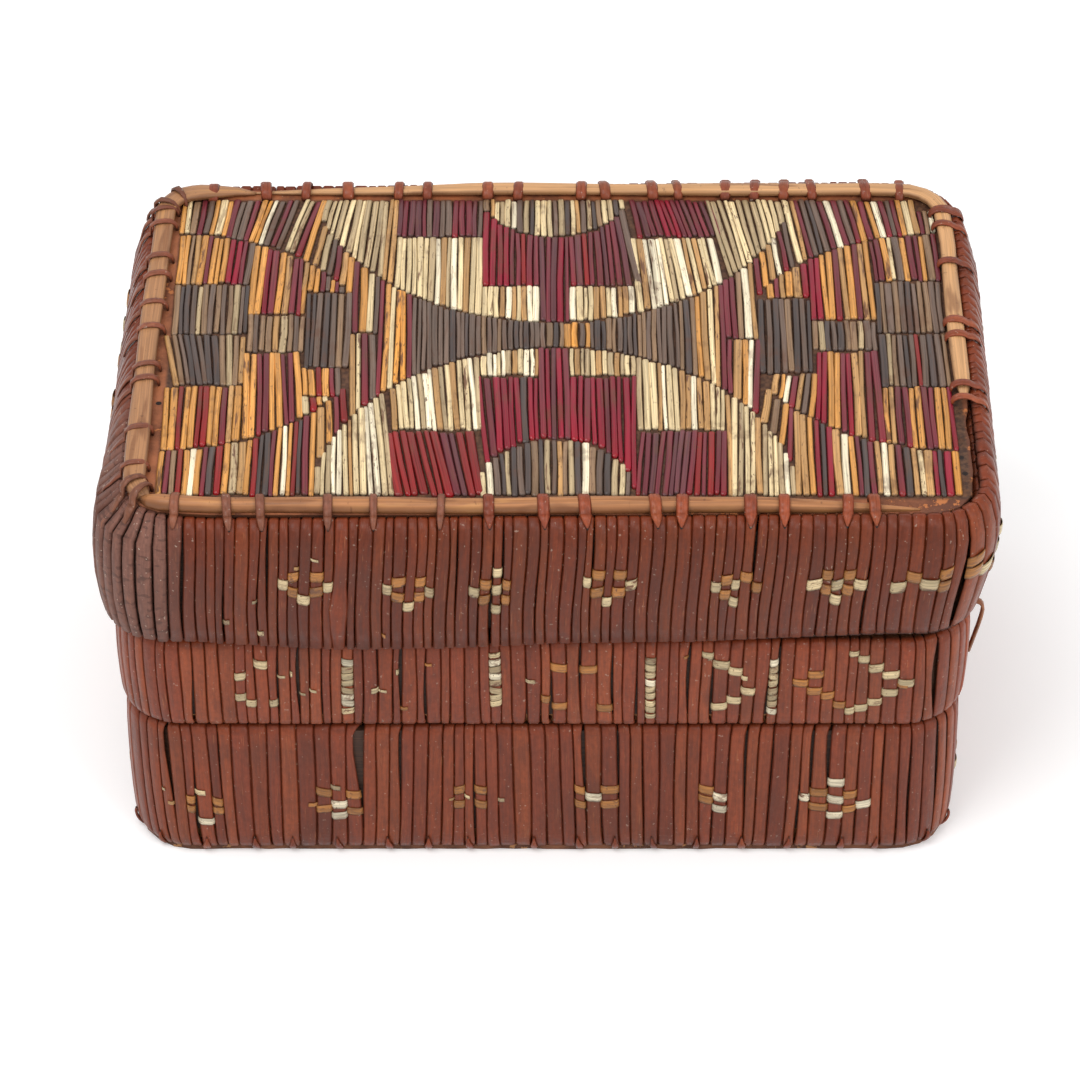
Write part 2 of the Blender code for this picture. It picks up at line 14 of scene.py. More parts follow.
import bpy
import numpy as np
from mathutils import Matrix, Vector


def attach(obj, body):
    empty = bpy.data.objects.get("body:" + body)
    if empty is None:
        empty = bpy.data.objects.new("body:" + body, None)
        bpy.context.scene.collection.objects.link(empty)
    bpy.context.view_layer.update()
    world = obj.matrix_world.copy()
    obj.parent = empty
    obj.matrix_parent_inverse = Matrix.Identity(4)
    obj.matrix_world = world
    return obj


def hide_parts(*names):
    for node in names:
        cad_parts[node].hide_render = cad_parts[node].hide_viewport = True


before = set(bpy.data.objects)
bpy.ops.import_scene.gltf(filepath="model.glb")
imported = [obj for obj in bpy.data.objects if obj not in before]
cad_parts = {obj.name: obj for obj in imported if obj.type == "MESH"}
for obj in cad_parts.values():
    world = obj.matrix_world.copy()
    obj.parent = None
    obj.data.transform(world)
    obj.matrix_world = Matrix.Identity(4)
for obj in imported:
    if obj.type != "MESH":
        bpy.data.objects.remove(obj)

MM = 0.001
CHANCE = random.Random(23)
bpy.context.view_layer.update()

# %% [markdown]
# ## The camera
#
# The photograph looks down on the front of the box at 40 degrees through a long lens. The lens,
# 161.6 mm on a 36 mm sensor, comes from how much narrower the back of the lid looks than its front.
# A long lens far away keeps the upright lines nearly parallel, as they are in the picture.

# %% Camera
LENS, SENSOR, FAR_CLIP = 161.57, 36.0, 20.0
CAMERA_PLACE, CAMERA_TILT = (-0.00075, -0.9967, 0.8875), 50.0


def photo_camera():
    data = bpy.data.cameras.new("camera")
    data.lens, data.sensor_width, data.clip_end = LENS, SENSOR, FAR_CLIP
    camera = bpy.data.objects.new("camera", data)
    bpy.context.scene.collection.objects.link(camera)
    camera.location = CAMERA_PLACE
    camera.rotation_euler = (radians(CAMERA_TILT), 0.0, 0.0)
    bpy.context.scene.camera = camera
    print("camera looks down at", 90 - CAMERA_TILT, "degrees")


photo_camera()


# %% [markdown]
# ## Rounded outlines
#
# Everything on the walls follows a rounded rectangle seen from above. A place on it is called a
# station: it runs from 0 to 8, and each whole number is a joint between a straight side and a bend.
# Station 0 is the front end of the right side, and the count goes round by the back. All sizes in
# this lesson are millimetres, and turn into metres when a mesh is made.

# %% Outlines
TURNS = np.array([(1, -1), (1, 1), (-1, 1), (-1, -1)], float)


class Outline:
    """A rounded rectangle round the Z axis."""

    def __init__(self, half_x, half_y, bend):
        self.bend = bend
        self.flat = np.array([half_x - bend, half_y - bend], float)

    def marks(self, offset):
        """Distance walked at each whole station, on a line offset outwards."""
        turn = pi / 2 * (self.bend + offset)
        long_side, short_side = 2 * self.flat
        return np.cumsum([0.0] + [short_side, turn, long_side, turn] * 2)

    def station(self, distance, offset=0.0):
        marks = self.marks(offset)
        return np.interp(np.mod(distance, marks[-1]), marks, np.arange(9.0))

    def distance(self, station, offset=0.0):
        return np.interp(station, np.arange(9.0), self.marks(offset))

    def at(self, station, offset):
        """Points at these stations, moved outwards by the offset."""
        station = np.mod(np.asarray(station, float), 8.0)
        part = np.floor(station).astype(int)
        along, side, bent = station - part, part // 2, part % 2 == 1
        end = TURNS[(side + 1) % 4]
        start = np.where(bent[..., None], end, TURNS[side])
        sign = start + (end - start) * along[..., None]
        angle = np.radians(90.0 * (side + np.where(bent, along, 0.0)))
        out = np.stack([np.cos(angle), np.sin(angle)], -1)
        reach = self.bend + np.asarray(offset, float)
        return sign * self.flat + out * reach[..., None]

    def walk(self, distance, reach, offset):
        """Points at these distances, walked on a line that is offset by reach."""
        return self.at(self.station(distance, reach), offset)


LID = Outline(104.3, 64.8, 9.0)
RING = Outline(104.3, 64.0, 12.0)
LID_LEAN = 1.5
print("lid outline", round(LID.marks(9.0)[-1]), "mm round its belly")


# %% Smooth lines through knots
def through(knots, t):
    """Points at t, from 0 to 1, of a smooth line that passes through the knots at even steps of t."""
    knots = np.asarray(knots, float)
    last = len(knots) - 1
    place = np.clip(np.asarray(t, float), 0.0, 1.0) * last
    i = np.minimum(place.astype(int), last - 1)
    f = (place - i)[..., None]
    a, b = knots[np.maximum(i - 1, 0)], knots[i]
    c, d = knots[i + 1], knots[np.minimum(i + 2, last)]
    bend = 2 * a - 5 * b + 4 * c - d
    return 0.5 * (2 * b + (c - a) * f + bend * f**2 + (3 * b - a - 3 * c + d) * f**3)


def section(knots, t):
    """Points of a section line and its normals, which point to the left of the way it runs."""
    step = 0.01
    ahead = through(knots, np.asarray(t) + step) - through(knots, np.asarray(t) - step)
    ahead /= np.linalg.norm(ahead, axis=-1, keepdims=True)
    return through(knots, t), np.stack([-ahead[..., 1], ahead[..., 0]], -1)


def raised(knots, t, height):
    """Offset and Z of points that stand off a section line by a height."""
    spot, out = section(knots, t)
    return spot[..., 0] + out[..., 0] * height, spot[..., 1] + out[..., 1] * height


def ease(value, start, end):
    """0 before start, 1 after end, and an even ramp between."""
    return np.clip((np.asarray(value, float) - start) / (end - start), 0.0, 1.0)


print("a ramp from 2 to 6, at 3:", ease(3, 2, 6))


# %% [markdown]
# ## Blanks
#
# Roots, lashings and quills are the same few shapes hundreds of times. Each is modelled once as a
# blank: a straight piece one unit wide, one long and one thick, with a broad flat back, rounded edges
# and a flat belly, because root and quill are both flattened before they are used. A blank starts as
# a cylinder of six sides, laid down with a flat side up. Its long edges are cut into rings, so that it
# can bend, its belly is squeezed, its flanks are lifted and its back is spread. Smooth shading makes
# the six sides look round, so each strand has only a few dozen faces.


# %% Modelling helpers
def start_piece():
    """Leave edit mode and select nothing, so that the next primitive is worked on alone."""
    if bpy.context.object and bpy.context.object.mode == "EDIT":
        bpy.ops.object.mode_set(mode="OBJECT")
    bpy.ops.object.select_all(action="DESELECT")


def pick(obj, kind, wanted):
    """In edit mode, select the vertices, edges or faces that the wanted test accepts."""
    bpy.ops.mesh.select_all(action="DESELECT")
    bpy.ops.object.mode_set(mode="OBJECT")
    parts = getattr(obj.data, kind)
    for part in parts:
        part.select = bool(wanted(part))
    bpy.ops.object.mode_set(mode="EDIT")


class Blank:
    """The shape of a finished blank: where each vertex is across, along and up, and its faces."""

    def __init__(self, obj):
        co = np.array([v.co for v in obj.data.vertices], float)
        low, high = co.min(0), co.max(0)
        self.across = (co[:, 0] - (low[0] + high[0]) / 2) / (high[0] - low[0])
        self.along = (co[:, 1] - low[1]) / (high[1] - low[1])
        self.up = (co[:, 2] - low[2]) / (high[2] - low[2])
        self.faces = [tuple(face.vertices) for face in obj.data.polygons]
        fans = [(f[0], f[i], f[i + 1]) for f in self.faces for i in range(1, len(f) - 1)]
        self.fans = np.array(fans)
        bpy.data.objects.remove(obj, do_unlink=True)


def strip_blank(sides, rings, spin, belly, flank, back):
    """A bar along Y: belly scales its underside, flank lifts its sides, back spreads its top."""
    start_piece()
    turned = (radians(90), radians(spin), 0)
    bpy.ops.mesh.primitive_cylinder_add(vertices=sides, radius=0.5, depth=1.0, rotation=turned)
    obj = bpy.context.object
    bpy.ops.object.transform_apply(location=True, rotation=True, scale=True)
    bpy.ops.object.mode_set(mode="EDIT")
    bpy.ops.mesh.select_mode(type="EDGE")
    at = obj.data.vertices
    pick(obj, "edges", lambda e: abs(at[e.vertices[0]].co.y - at[e.vertices[1]].co.y) > 0.5)
    bpy.ops.mesh.subdivide(number_cuts=rings - 1)
    bpy.ops.mesh.select_mode(type="VERT")
    pick(obj, "vertices", lambda v: v.co.z < -0.02)
    bpy.ops.transform.resize(value=(1.5 if spin else 1.0, 1.0, belly), center_override=(0, 0, 0))
    pick(obj, "vertices", lambda v: abs(v.co.x) > 0.49)
    bpy.ops.transform.translate(value=(0, 0, flank))
    pick(obj, "vertices", lambda v: v.co.z > 0.3)
    bpy.ops.transform.resize(value=(back, 1.0, 1.0), center_override=(0, 0, 0))
    bpy.ops.object.mode_set(mode="OBJECT")
    return Blank(obj)


ROOT = strip_blank(6, 11, 30, 0.15, 0.19, 1.36)
QUILL = strip_blank(6, 6, 30, 0.15, 0.12, 1.06)
LASH = strip_blank(6, 13, 30, 0.15, 0.10, 1.24)
STICK = strip_blank(12, 64, 0, 0.75, 0.0, 1.0)
for title, blank in (("root", ROOT), ("quill", QUILL), ("lash", LASH), ("stick", STICK)):
    print(title, "blank:", len(blank.faces), "faces")


# %% [markdown]
# ## Bundles
#
# A bundle lays copies of a blank, each by its own rule that turns across, along and up into a place.
# All roots of one ring become one mesh, because the frame counts a ring's winding as one piece. Each
# copy also carries what its finish needs: its dye, its age, how wet its dye looks, a seed of its own,
# and a UV map in millimetres, so that the grain runs along every strand at its real scale.


# %% Bundles
class Bundle:
    """Copies of one blank, gathered strand by strand and built as one mesh."""

    def __init__(self, blank):
        self.blank = blank
        self.points, self.flats, self.faces, self.traits = [], [], [], []

    def lay(self, place, width, length, dye, age=0.0, wet=0.0):
        blank = self.blank
        start = len(self.points) * len(blank.across)
        points = place(blank.across, blank.along, blank.up)
        corners = points[blank.fans]
        volume = np.einsum("ij,ij->", corners[:, 0], np.cross(corners[:, 1], corners[:, 2]))
        for face in blank.faces:
            face = [start + corner for corner in face]
            self.faces.append(face[::-1] if volume < 0 else face)
        self.points.append(points)
        self.flats.append(np.stack([blank.across * width, blank.along * length], -1))
        self.traits.append((*dye, 1.0, CHANCE.random(), age, wet))

    def build(self, name, finish, body, *stands_for):
        blank, many = self.blank, len(self.points)
        mesh = bpy.data.meshes.new(name)
        mesh.from_pydata((np.concatenate(self.points) * MM).tolist(), [], self.faces)
        mesh.polygons.foreach_set("use_smooth", [True] * len(self.faces))
        corners = np.empty(len(mesh.loops), int)
        mesh.loops.foreach_get("vertex_index", corners)
        flat = np.concatenate(self.flats)[corners]
        mesh.uv_layers.new(name="strand").data.foreach_set("uv", flat.ravel())
        traits = np.repeat(self.traits, len(blank.across), axis=0)
        dye = mesh.attributes.new("dye", "FLOAT_COLOR", "POINT")
        dye.data.foreach_set("color", traits[:, :4].ravel())
        ends = np.tile(blank.along, many), np.tile(blank.across, many)
        for key, values in zip(("seed", "age", "wet", "along", "across"), (*traits[:, 4:].T, *ends)):
            trait = mesh.attributes.new(key, "FLOAT", "POINT")
            trait.data.foreach_set("value", np.ascontiguousarray(values))
        obj = bpy.data.objects.new(name, mesh)
        bpy.context.scene.collection.objects.link(obj)
        settle(obj, finish, body, *stands_for)


def settle(obj, finish, body, *stands_for):
    """Give a finished piece its material, the body that carries it and the node that it replaces."""
    obj.data.materials.append(finish)
    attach(obj, body)
    if stands_for:
        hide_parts(*stands_for)
    print(obj.name, "-", len(obj.data.polygons), "faces")


print("200 quills have", 200 * len(QUILL.faces), "faces")


# %% [markdown]
# ## Shader arithmetic
#
# A material is a small sum: grain times colour, plus dust, less shade. The class below wraps one
# socket of a node tree, so that a sum written in Python adds its Math nodes. Numbers go through Math
# nodes, and colours through Mix and Vector Math, because a Math node would turn them grey.


# %% Sockets that add up
class Wire:
    def __init__(self, finish, socket):
        self.finish, self.socket = finish, socket

    def math(self, operation, *values):
        return self.finish.node("ShaderNodeMath", {"operation": operation}, dict(enumerate(values)))

    def __add__(self, other):
        return self.math("ADD", self, other)

    def __sub__(self, other):
        return self.math("SUBTRACT", self, other)

    def __rsub__(self, other):
        return self.math("SUBTRACT", other, self)

    def __mul__(self, other):
        return self.math("MULTIPLY", self, other)

    __radd__ = __add__
    __rmul__ = __mul__

    def size(self):
        return self.math("ABSOLUTE", self)

    def ramp(self, start, end, low=0.0, high=1.0):
        """low below start, high above end, and a smooth rise between."""
        settings = {"interpolation_type": "SMOOTHSTEP"}
        inputs = {"Value": self, "From Min": start, "From Max": end, "To Min": low, "To Max": high}
        if start > end:
            inputs.update({"From Min": end, "From Max": start, "To Min": high, "To Max": low})
        return self.finish.node("ShaderNodeMapRange", settings, inputs)


print("a wire can:", *[word for word in vars(Wire) if "_" not in word])


# %% A finish, and the nodes that feed it
class Finish:
    """A material and the nodes that feed its shader."""

    def __init__(self, name, roughness=0.5, coat=0.0, shine=0.34):
        self.material = bpy.data.materials.new(name)
        self.material.use_nodes = True
        self.tree = self.material.node_tree
        self.shader = self.tree.nodes["Principled BSDF"]
        fixed = {"Roughness": roughness, "Coat Weight": coat, "Coat Roughness": 0.25}
        for key, value in {**fixed, "Specular IOR Level": shine}.items():
            self.shader.inputs[key].default_value = value

    def node(self, kind, settings=None, inputs=None, output=0):
        made = self.tree.nodes.new(kind)
        for key, value in (settings or {}).items():
            setattr(made, key, value)
        for key, value in (inputs or {}).items():
            if isinstance(value, Wire):
                self.tree.links.new(value.socket, made.inputs[key])
            else:
                made.inputs[key].default_value = value
        return Wire(self, made.outputs[output])

    def attribute(self, name, output="Fac"):
        return self.node("ShaderNodeAttribute", {"attribute_name": name}, output=output)

    def split(self, vector):
        separate = self.node("ShaderNodeSeparateXYZ", None, {"Vector": vector})
        outputs = separate.socket.node.outputs
        return [Wire(self, outputs[axis]) for axis in "XYZ"]

    def join(self, x, y, z):
        return self.node("ShaderNodeCombineXYZ", None, {"X": x, "Y": y, "Z": z})

    def place(self):
        """Where a point is on the object, in metres."""
        return self.node("ShaderNodeTexCoord", output="Object")

    def noise(self, vector, scale=1.0, detail=2.0, roughness=0.5):
        inputs = {"Vector": vector, "Scale": scale, "Detail": detail, "Roughness": roughness}
        return self.node("ShaderNodeTexNoise", None, inputs)

    def grain(self, across, along, detail=2.0, roughness=0.5):
        """Noise on the strand's UV in millimetres, stretched, with its seed as the third axis."""
        u, v, _ = self.split(self.node("ShaderNodeUVMap", {"uv_map": "strand"}))
        space = self.join(u * across, v * along, self.attribute("seed") * 97.0)
        return self.noise(space, 1.0, detail, roughness)

    def mix(self, factor, a, b):
        """Two colours mixed. Sockets 6 and 7 are the colours of a Mix node, and output 2 its result."""
        settings = {"data_type": "RGBA", "blend_type": "MIX", "clamp_factor": True}
        a, b = [c if isinstance(c, Wire) else (*c, 1.0) for c in (a, b)]
        return self.node("ShaderNodeMix", settings, {0: factor, 6: a, 7: b}, output=2)

    def layers(self, color, *coats):
        """Coats of colour laid over each other, each with the mask that says where it shows."""
        for mask, coat in coats:
            color = self.mix(mask, color, coat if isinstance(coat, Wire) else paint(*coat))
        return color

    def times(self, color, factor):
        """A colour made lighter or darker by a number."""
        return self.node("ShaderNodeVectorMath", {"operation": "SCALE"}, {0: color, "Scale": factor})

    def set(self, **inputs):
        for key, wire in inputs.items():
            self.tree.links.new(wire.socket, self.shader.inputs[key.replace("_", " ")])

    def bump(self, height, strength, distance):
        inputs = {"Height": height, "Strength": strength, "Distance": distance * MM}
        self.set(Normal=self.node("ShaderNodeBump", None, inputs))


print("a finish can:", *[word for word in vars(Finish) if "_" not in word])


# %% Screen colours
def paint(*screen):
    """A colour as it is seen on a screen, from 0 to 255, turned into the light that a shader uses."""
    return tuple(c / 255 / 12.92 if c < 11 else ((c / 255 + 0.055) / 1.055) ** 2.4 for c in screen)


print("mid grey on a screen is light of", round(paint(128)[0], 3))


# %% [markdown]
# ## Finishes of root, wood and bark
#
# Split root is satiny, with a fine grain along the strand and dark blotches all along. Where it folds
# over the top of a hoop it is painted a warmer, lighter orange: a painted highlight. Dust lies on it in
# pale specks. The sides of each strand are painted darker, and so is the end where it goes in, out of
# sight: painted shade. The grain is noise that is stretched along the UV map's length, and each
# strand's seed moves it, so that no two match.


# %% Root finish
def root_finish(name, polish):
    f = Finish(name, shine=0.26)
    grain, fibre = f.grain(1.5, 0.09, 3.0, 0.6), f.grain(4.5, 0.16)
    blotch, knuckle = f.grain(0.35, 0.13), f.grain(0.3, 0.8, 1.0)
    mottle = f.grain(0.9, 0.7, 3.0, 0.7)
    dust, cloud = f.noise(f.place(), 1150.0, 1.0), f.noise(f.place(), 42.0, 3.0)
    age, along = f.attribute("age"), f.attribute("along")
    side = f.attribute("across").size().ramp(0.43, 0.52)
    shade = grain.ramp(0.28, 0.74, 0.82, 1.17) * mottle.ramp(0.30, 0.70, 0.87, 1.13)
    speck = dust.ramp(0.72, 0.75) * (0.3 + age * 0.5)
    color = f.layers(
        f.times(f.attribute("dye", "Color"), shade),
        # painted highlight: a warmer, lighter orange where the root folds over the hoop
        (along.ramp(0.34, 0.14) * (1 - age) * 0.5, (128, 54, 26)),
        (blotch.ramp(0.52, 0.70) * 0.32, (84, 44, 34)),
        (fibre.ramp(0.60, 0.72) * blotch.ramp(0.46, 0.36) * 0.5, (176, 112, 72)),
        (cloud.ramp(0.52, 0.68) * 0.35, (84, 46, 34)),
        (knuckle.ramp(0.58, 0.66) * age * 0.55, (62, 40, 34)),
        # painted shade: the sides of each strand darker, more on old, round root
        (side * (0.4 + age * 0.4), (50, 24, 16)),
        # painted shade: the end where the strand goes in, out of sight
        (along.ramp(0.13, 0.07) * 0.8, (40, 22, 16)),
        (speck, (196, 176, 158)),
    )
    rough = grain.ramp(0.3, 0.7, polish, polish + 0.16) + age * 0.25 + speck * 0.3
    f.set(Base_Color=color, Roughness=rough)
    f.bump(fibre * 0.5 + knuckle * (0.35 + age) + grain * 0.3 + mottle * 0.5, 0.4, 0.4)
    return f.material


ROOT_FINISH = root_finish("split_root", 0.28)
LASH_FINISH = root_finish("lashing_root", 0.24)
print("root finish:", len(ROOT_FINISH.node_tree.nodes), "nodes")


# %% [markdown]
# The hoop sticks are peeled shoots, split lengthwise: tan wood, glossy from handling, with long
# grain, darker patches and small scars across, and their flanks are painted darker as shade. The
# bark under them shows its reddish inner side, dark under the quills, and its top layer has flaked
# off in orange patches. The side of its rim and its few old holes are painted dark: painted shade.
# The inside of the box is clean tan bark with the short dark dashes that birch bark has.


# %% Wood of the hoops
def hoop_finish():
    f = Finish("hoop_wood")
    grain, patch = f.grain(1.7, 0.035, 4.0, 0.6), f.grain(0.25, 0.05)
    scar = f.grain(0.35, 0.9, 3.0)
    side = f.attribute("across").size().ramp(0.33, 0.52)
    color = f.layers(
        f.times(f.attribute("dye", "Color"), grain.ramp(0.30, 0.72, 0.76, 1.18)),
        (patch.ramp(0.56, 0.68) * 0.55, (112, 66, 38)),
        (patch.ramp(0.42, 0.30) * 0.40, (206, 150, 90)),
        (scar.ramp(0.66, 0.74) * 0.5, (82, 48, 30)),
        # painted shade: the flanks of the stick darker
        (side * 0.55, (74, 38, 22)),
    )
    f.set(Base_Color=color, Roughness=grain.ramp(0.3, 0.7, 0.34, 0.52))
    f.bump(grain * 0.7 + scar * 0.4, 0.4, 0.4)
    return f.material


HOOP_FINISH = hoop_finish()
print("hoop finish:", len(HOOP_FINISH.node_tree.nodes), "nodes")


# %% Bark of the bottom and the lid
def bottom_bark_finish():
    """The bottom's bark: brown, with a few flakes off."""
    f = Finish("bottom_bark")
    x, y, z = f.split(f.place())
    cloud, edge = f.noise(f.place(), 90.0, 5.0, 0.65), f.noise(f.place(), 380.0, 4.0, 0.7)
    fine = f.noise(f.join(x * 300.0, y * 1500.0, z * 1500.0), 1.0, 3.0)
    peeled = (cloud + edge * 0.35).ramp(0.77, 0.80)
    color = f.layers(
        f.mix(cloud.ramp(0.35, 0.68), paint(120, 74, 48), paint(66, 38, 26)),
        (peeled * 0.85, (178, 128, 84)),
        (fine.ramp(0.62, 0.72) * 0.4, (66, 38, 26)),
    )
    f.set(Base_Color=color, Roughness=cloud.ramp(0.3, 0.7, 0.55, 0.8))
    f.bump(fine * 0.4 + edge * 0.5 - peeled * 0.5, 0.5, 0.5)
    return f.material


# Old holes in the margin of the bark, as (x, y) in metres. They are not cut: each is painted dark,
# as the shade inside a hole.
OLD_HOLES = ((-0.0983, -0.0243), (0.1055, -0.0463), (0.1061, -0.0527))


def lid_bark_finish():
    """The lid's bark: orange brown margins, dark under the quills, a dark flaking corner and painted shade.
    """
    f = Finish("lid_bark")
    x, y, z = f.split(f.place())
    cloud, edge = f.noise(f.place(), 95.0, 5.0, 0.65), f.noise(f.place(), 420.0, 4.0, 0.7)
    grit = f.noise(f.place(), 800.0, 4.0, 0.6)
    worked = (x - 0.0052).size().ramp(0.1028, 0.1016) * (y - 0.0005).size().ramp(0.0643, 0.0625)
    corner = x.ramp(0.086, 0.100) * y.ramp(-0.022, -0.034)
    peeled = (cloud + edge * 0.5 + corner * 0.10).ramp(0.86, 0.90)
    color = f.layers(
        f.mix(cloud.ramp(0.35, 0.68), paint(164, 98, 62), paint(104, 60, 40)),
        (corner * 0.85, (88, 50, 36)),
        (peeled * 0.85, (190, 116, 66)),
        (worked * 0.92, f.mix(grit.ramp(0.35, 0.68), paint(54, 35, 26), paint(96, 66, 46))),
        (grit.ramp(0.70, 0.75) * 0.5, (196, 172, 140)),
    )
    for hole_x, hole_y in OLD_HOLES:
        away_x, away_y = x - hole_x, y - hole_y
        # painted shade: a dark spot for the shade inside each hole
        hole = (away_x * away_x + away_y * away_y).ramp(0.8e-6, 0.4e-6)
        color = f.layers(color, (hole, (30, 16, 10)))
    # painted shade: the side of the rim, below the top of the bark, is dark
    color = f.layers(color, (z.ramp(0.1171, 0.1165) * 0.8, (44, 26, 18)))
    f.set(Base_Color=color, Roughness=cloud.ramp(0.3, 0.7, 0.5, 0.8))
    f.bump(edge * 0.6 + grit * 0.3 - peeled * 0.5, 0.6, 0.5)
    return f.material


PANEL_FINISH, BOTTOM_FINISH = lid_bark_finish(), bottom_bark_finish()
print("lid bark:", len(PANEL_FINISH.node_tree.nodes), "nodes")


# %% Inner bark and splint
def inner_bark_finish():
    f = Finish("inner_bark")
    x, y, z = f.split(f.place())
    cloud = f.noise(f.place(), 25.0, 3.0)
    fine = f.noise(f.join(x * 120.0, y * 120.0, z * 900.0), 1.0, 4.0)
    dash = f.noise(f.join(x * 160.0, y * 160.0, z * 1100.0), 1.0, 1.0).ramp(0.68, 0.72)
    color = f.mix(cloud.ramp(0.3, 0.7), paint(196, 142, 92), paint(168, 112, 70))
    color = f.layers(f.times(color, fine.ramp(0.3, 0.7, 0.86, 1.10)), (dash * 0.7, (92, 56, 36)))
    f.set(Base_Color=color, Roughness=cloud.ramp(0.3, 0.7, 0.5, 0.68))
    f.bump(fine * 0.5 + dash, 0.4, 0.3)
    return f.material


def splint_finish():
    f = Finish("ash_splint")
    x, y, z = f.split(f.place())
    grain = f.noise(f.join(x * 60.0, y * 60.0, z * 1800.0), 1.0, 4.0)
    f.set(Base_Color=f.mix(grain.ramp(0.3, 0.7), paint(86, 56, 38), paint(52, 32, 22)))
    f.bump(grain, 0.3, 0.3)
    return f.material


for finish, nodes in (
    (inner_bark_finish(), ("inner_liner", "lid_lining")),
    (splint_finish(), ("lower_ring_core", "middle_ring_core", "lid_ring_core")),
):
    for node in nodes:
        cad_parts[node].material_slots[0].material = finish
    print(finish.name, "on", *nodes)


# %% [markdown]
# ## Root round the rings
#
# A root is wound round each hoop with its turns packed side by side, 3 to 4 mm apart. What shows is
# the outer run of each turn: it comes up inside, folds over the top, goes down the bulging face and
# folds in under the foot. One section line gives that path, and each turn lies between two seams that
# wander a little, so that neighbours fit together as real ones do, with no overlap.


# %% Sections of the base's two walls, along the underside of the root, as (offset, height)
MIDDLE_SECTION = [(1.9, 74.2), (3.7, 74.5), (4.6, 73.8), (5.0, 71.5), (5.2, 66.0), (5.2, 60.5)]
MIDDLE_SECTION += [(5.0, 55.0), (4.7, 50.0), (4.4, 47.9), (3.7, 47.3), (2.0, 47.5)]
LOWER_SECTION = [(1.5, 44.0), (2.6, 44.3), (3.3, 43.6), (3.7, 41.0), (3.9, 33.0), (3.95, 24.5)]
LOWER_SECTION += [(3.8, 16.0), (3.5, 9.0), (3.1, 4.6), (2.5, 2.7), (1.4, 2.2)]
print("walls from", LOWER_SECTION[-1][1], "to", MIDDLE_SECTION[0][1], "mm")

# %% The lid's wall, which is not even
PANEL_LOW, PANEL_TOP = 115.6, 117.2
PANEL_RIM = 4.2
FOOT_LINE = [(-110, 77.3), (-91, 76.9), (-53, 74.2), (-26, 74.4)]
FOOT_LINE += [(4, 75.8), (39, 76.1), (64, 77.4), (88, 78.6)]


def drawn_in(x, y):
    """How far the wall is drawn in at rim and belly: on the left side and at the back right."""
    left, right = ease(-np.asarray(x), 84, 103), ease(x, 84, 103)
    back, corner = ease(y, -45, 60), right * ease(y, 42, 66)
    rim = left * (1.5 + 1.3 * back) + corner * 1.4
    return rim, left * (0.2 + 2.5 * back) - right * back * 0.8 + corner * 2.6


def crest(x):
    """Height of the root's fold over the rim, which rises to the right."""
    return 117.25 + 1.5 * ease(x, -70, 95)


def foot(x, y):
    """Height of the wall's lower edge: uneven at the front, where the picture shows it."""
    front = np.interp(x, *zip(*FOOT_LINE))
    side = np.interp(x, (-110, 110), (77.2, 78.4))
    return front + (side - front) * ease(y, -66, -52)


def lid_section(x, y):
    """The lid's section at one place of the outline."""
    rim, belly = drawn_in(x, y)
    edge, top, low = PANEL_RIM - rim, crest(x), foot(x, y)
    slim, tuck = 1.2 * ease(x, -60, 100), ease(-x, 96, 103)
    flare = tuck * ease(y, -62, -30)
    return np.array([
        (edge + 0.1 - tuck, top - 3.0),
        (edge + 0.2 - tuck, top - 1.9),
        (edge + 0.9 - tuck, top - 1.15 - tuck * 0.5),
        (edge + 2.0 - tuck, top - 1.5 - tuck * 0.7),
        (edge + 3.2 - tuck * 0.6 - belly * 0.3, top - 3.4 - tuck * 0.5),
        (8.7 - belly - flare * 2.0, 111.2),
        (9.3 - belly - flare * 1.3, 107.2),
        (9.4 - belly - flare * 0.5, 102.0),
        (9.2 - belly - slim * 0.2 + flare * 0.1, 96.0),
        (8.7 - belly - slim * 0.5 + flare * 0.4, 90.0),
        (8.0 - belly - slim * 0.8, 84.5),
        (7.3 - belly - slim, low + 3.2),
        (6.7 - belly - slim * 0.5, low + 1.4),
        (6.1 - belly, low + 1.6),
        (5.8 - belly, low + 2.6),
    ])


def place_plain(points, z):
    return np.concatenate([points, z[..., None]], -1)


def place_on_lid(points, z):
    """The lid's top sits a little to the right of its foot."""
    high = ease(z, 84, 117)
    points[..., 0] += LID_LEAN * high * high * (3 - 2 * high)
    return place_plain(points, z)


print("the wall's foot in front:", round(float(foot(0, -75)), 1), "mm high")


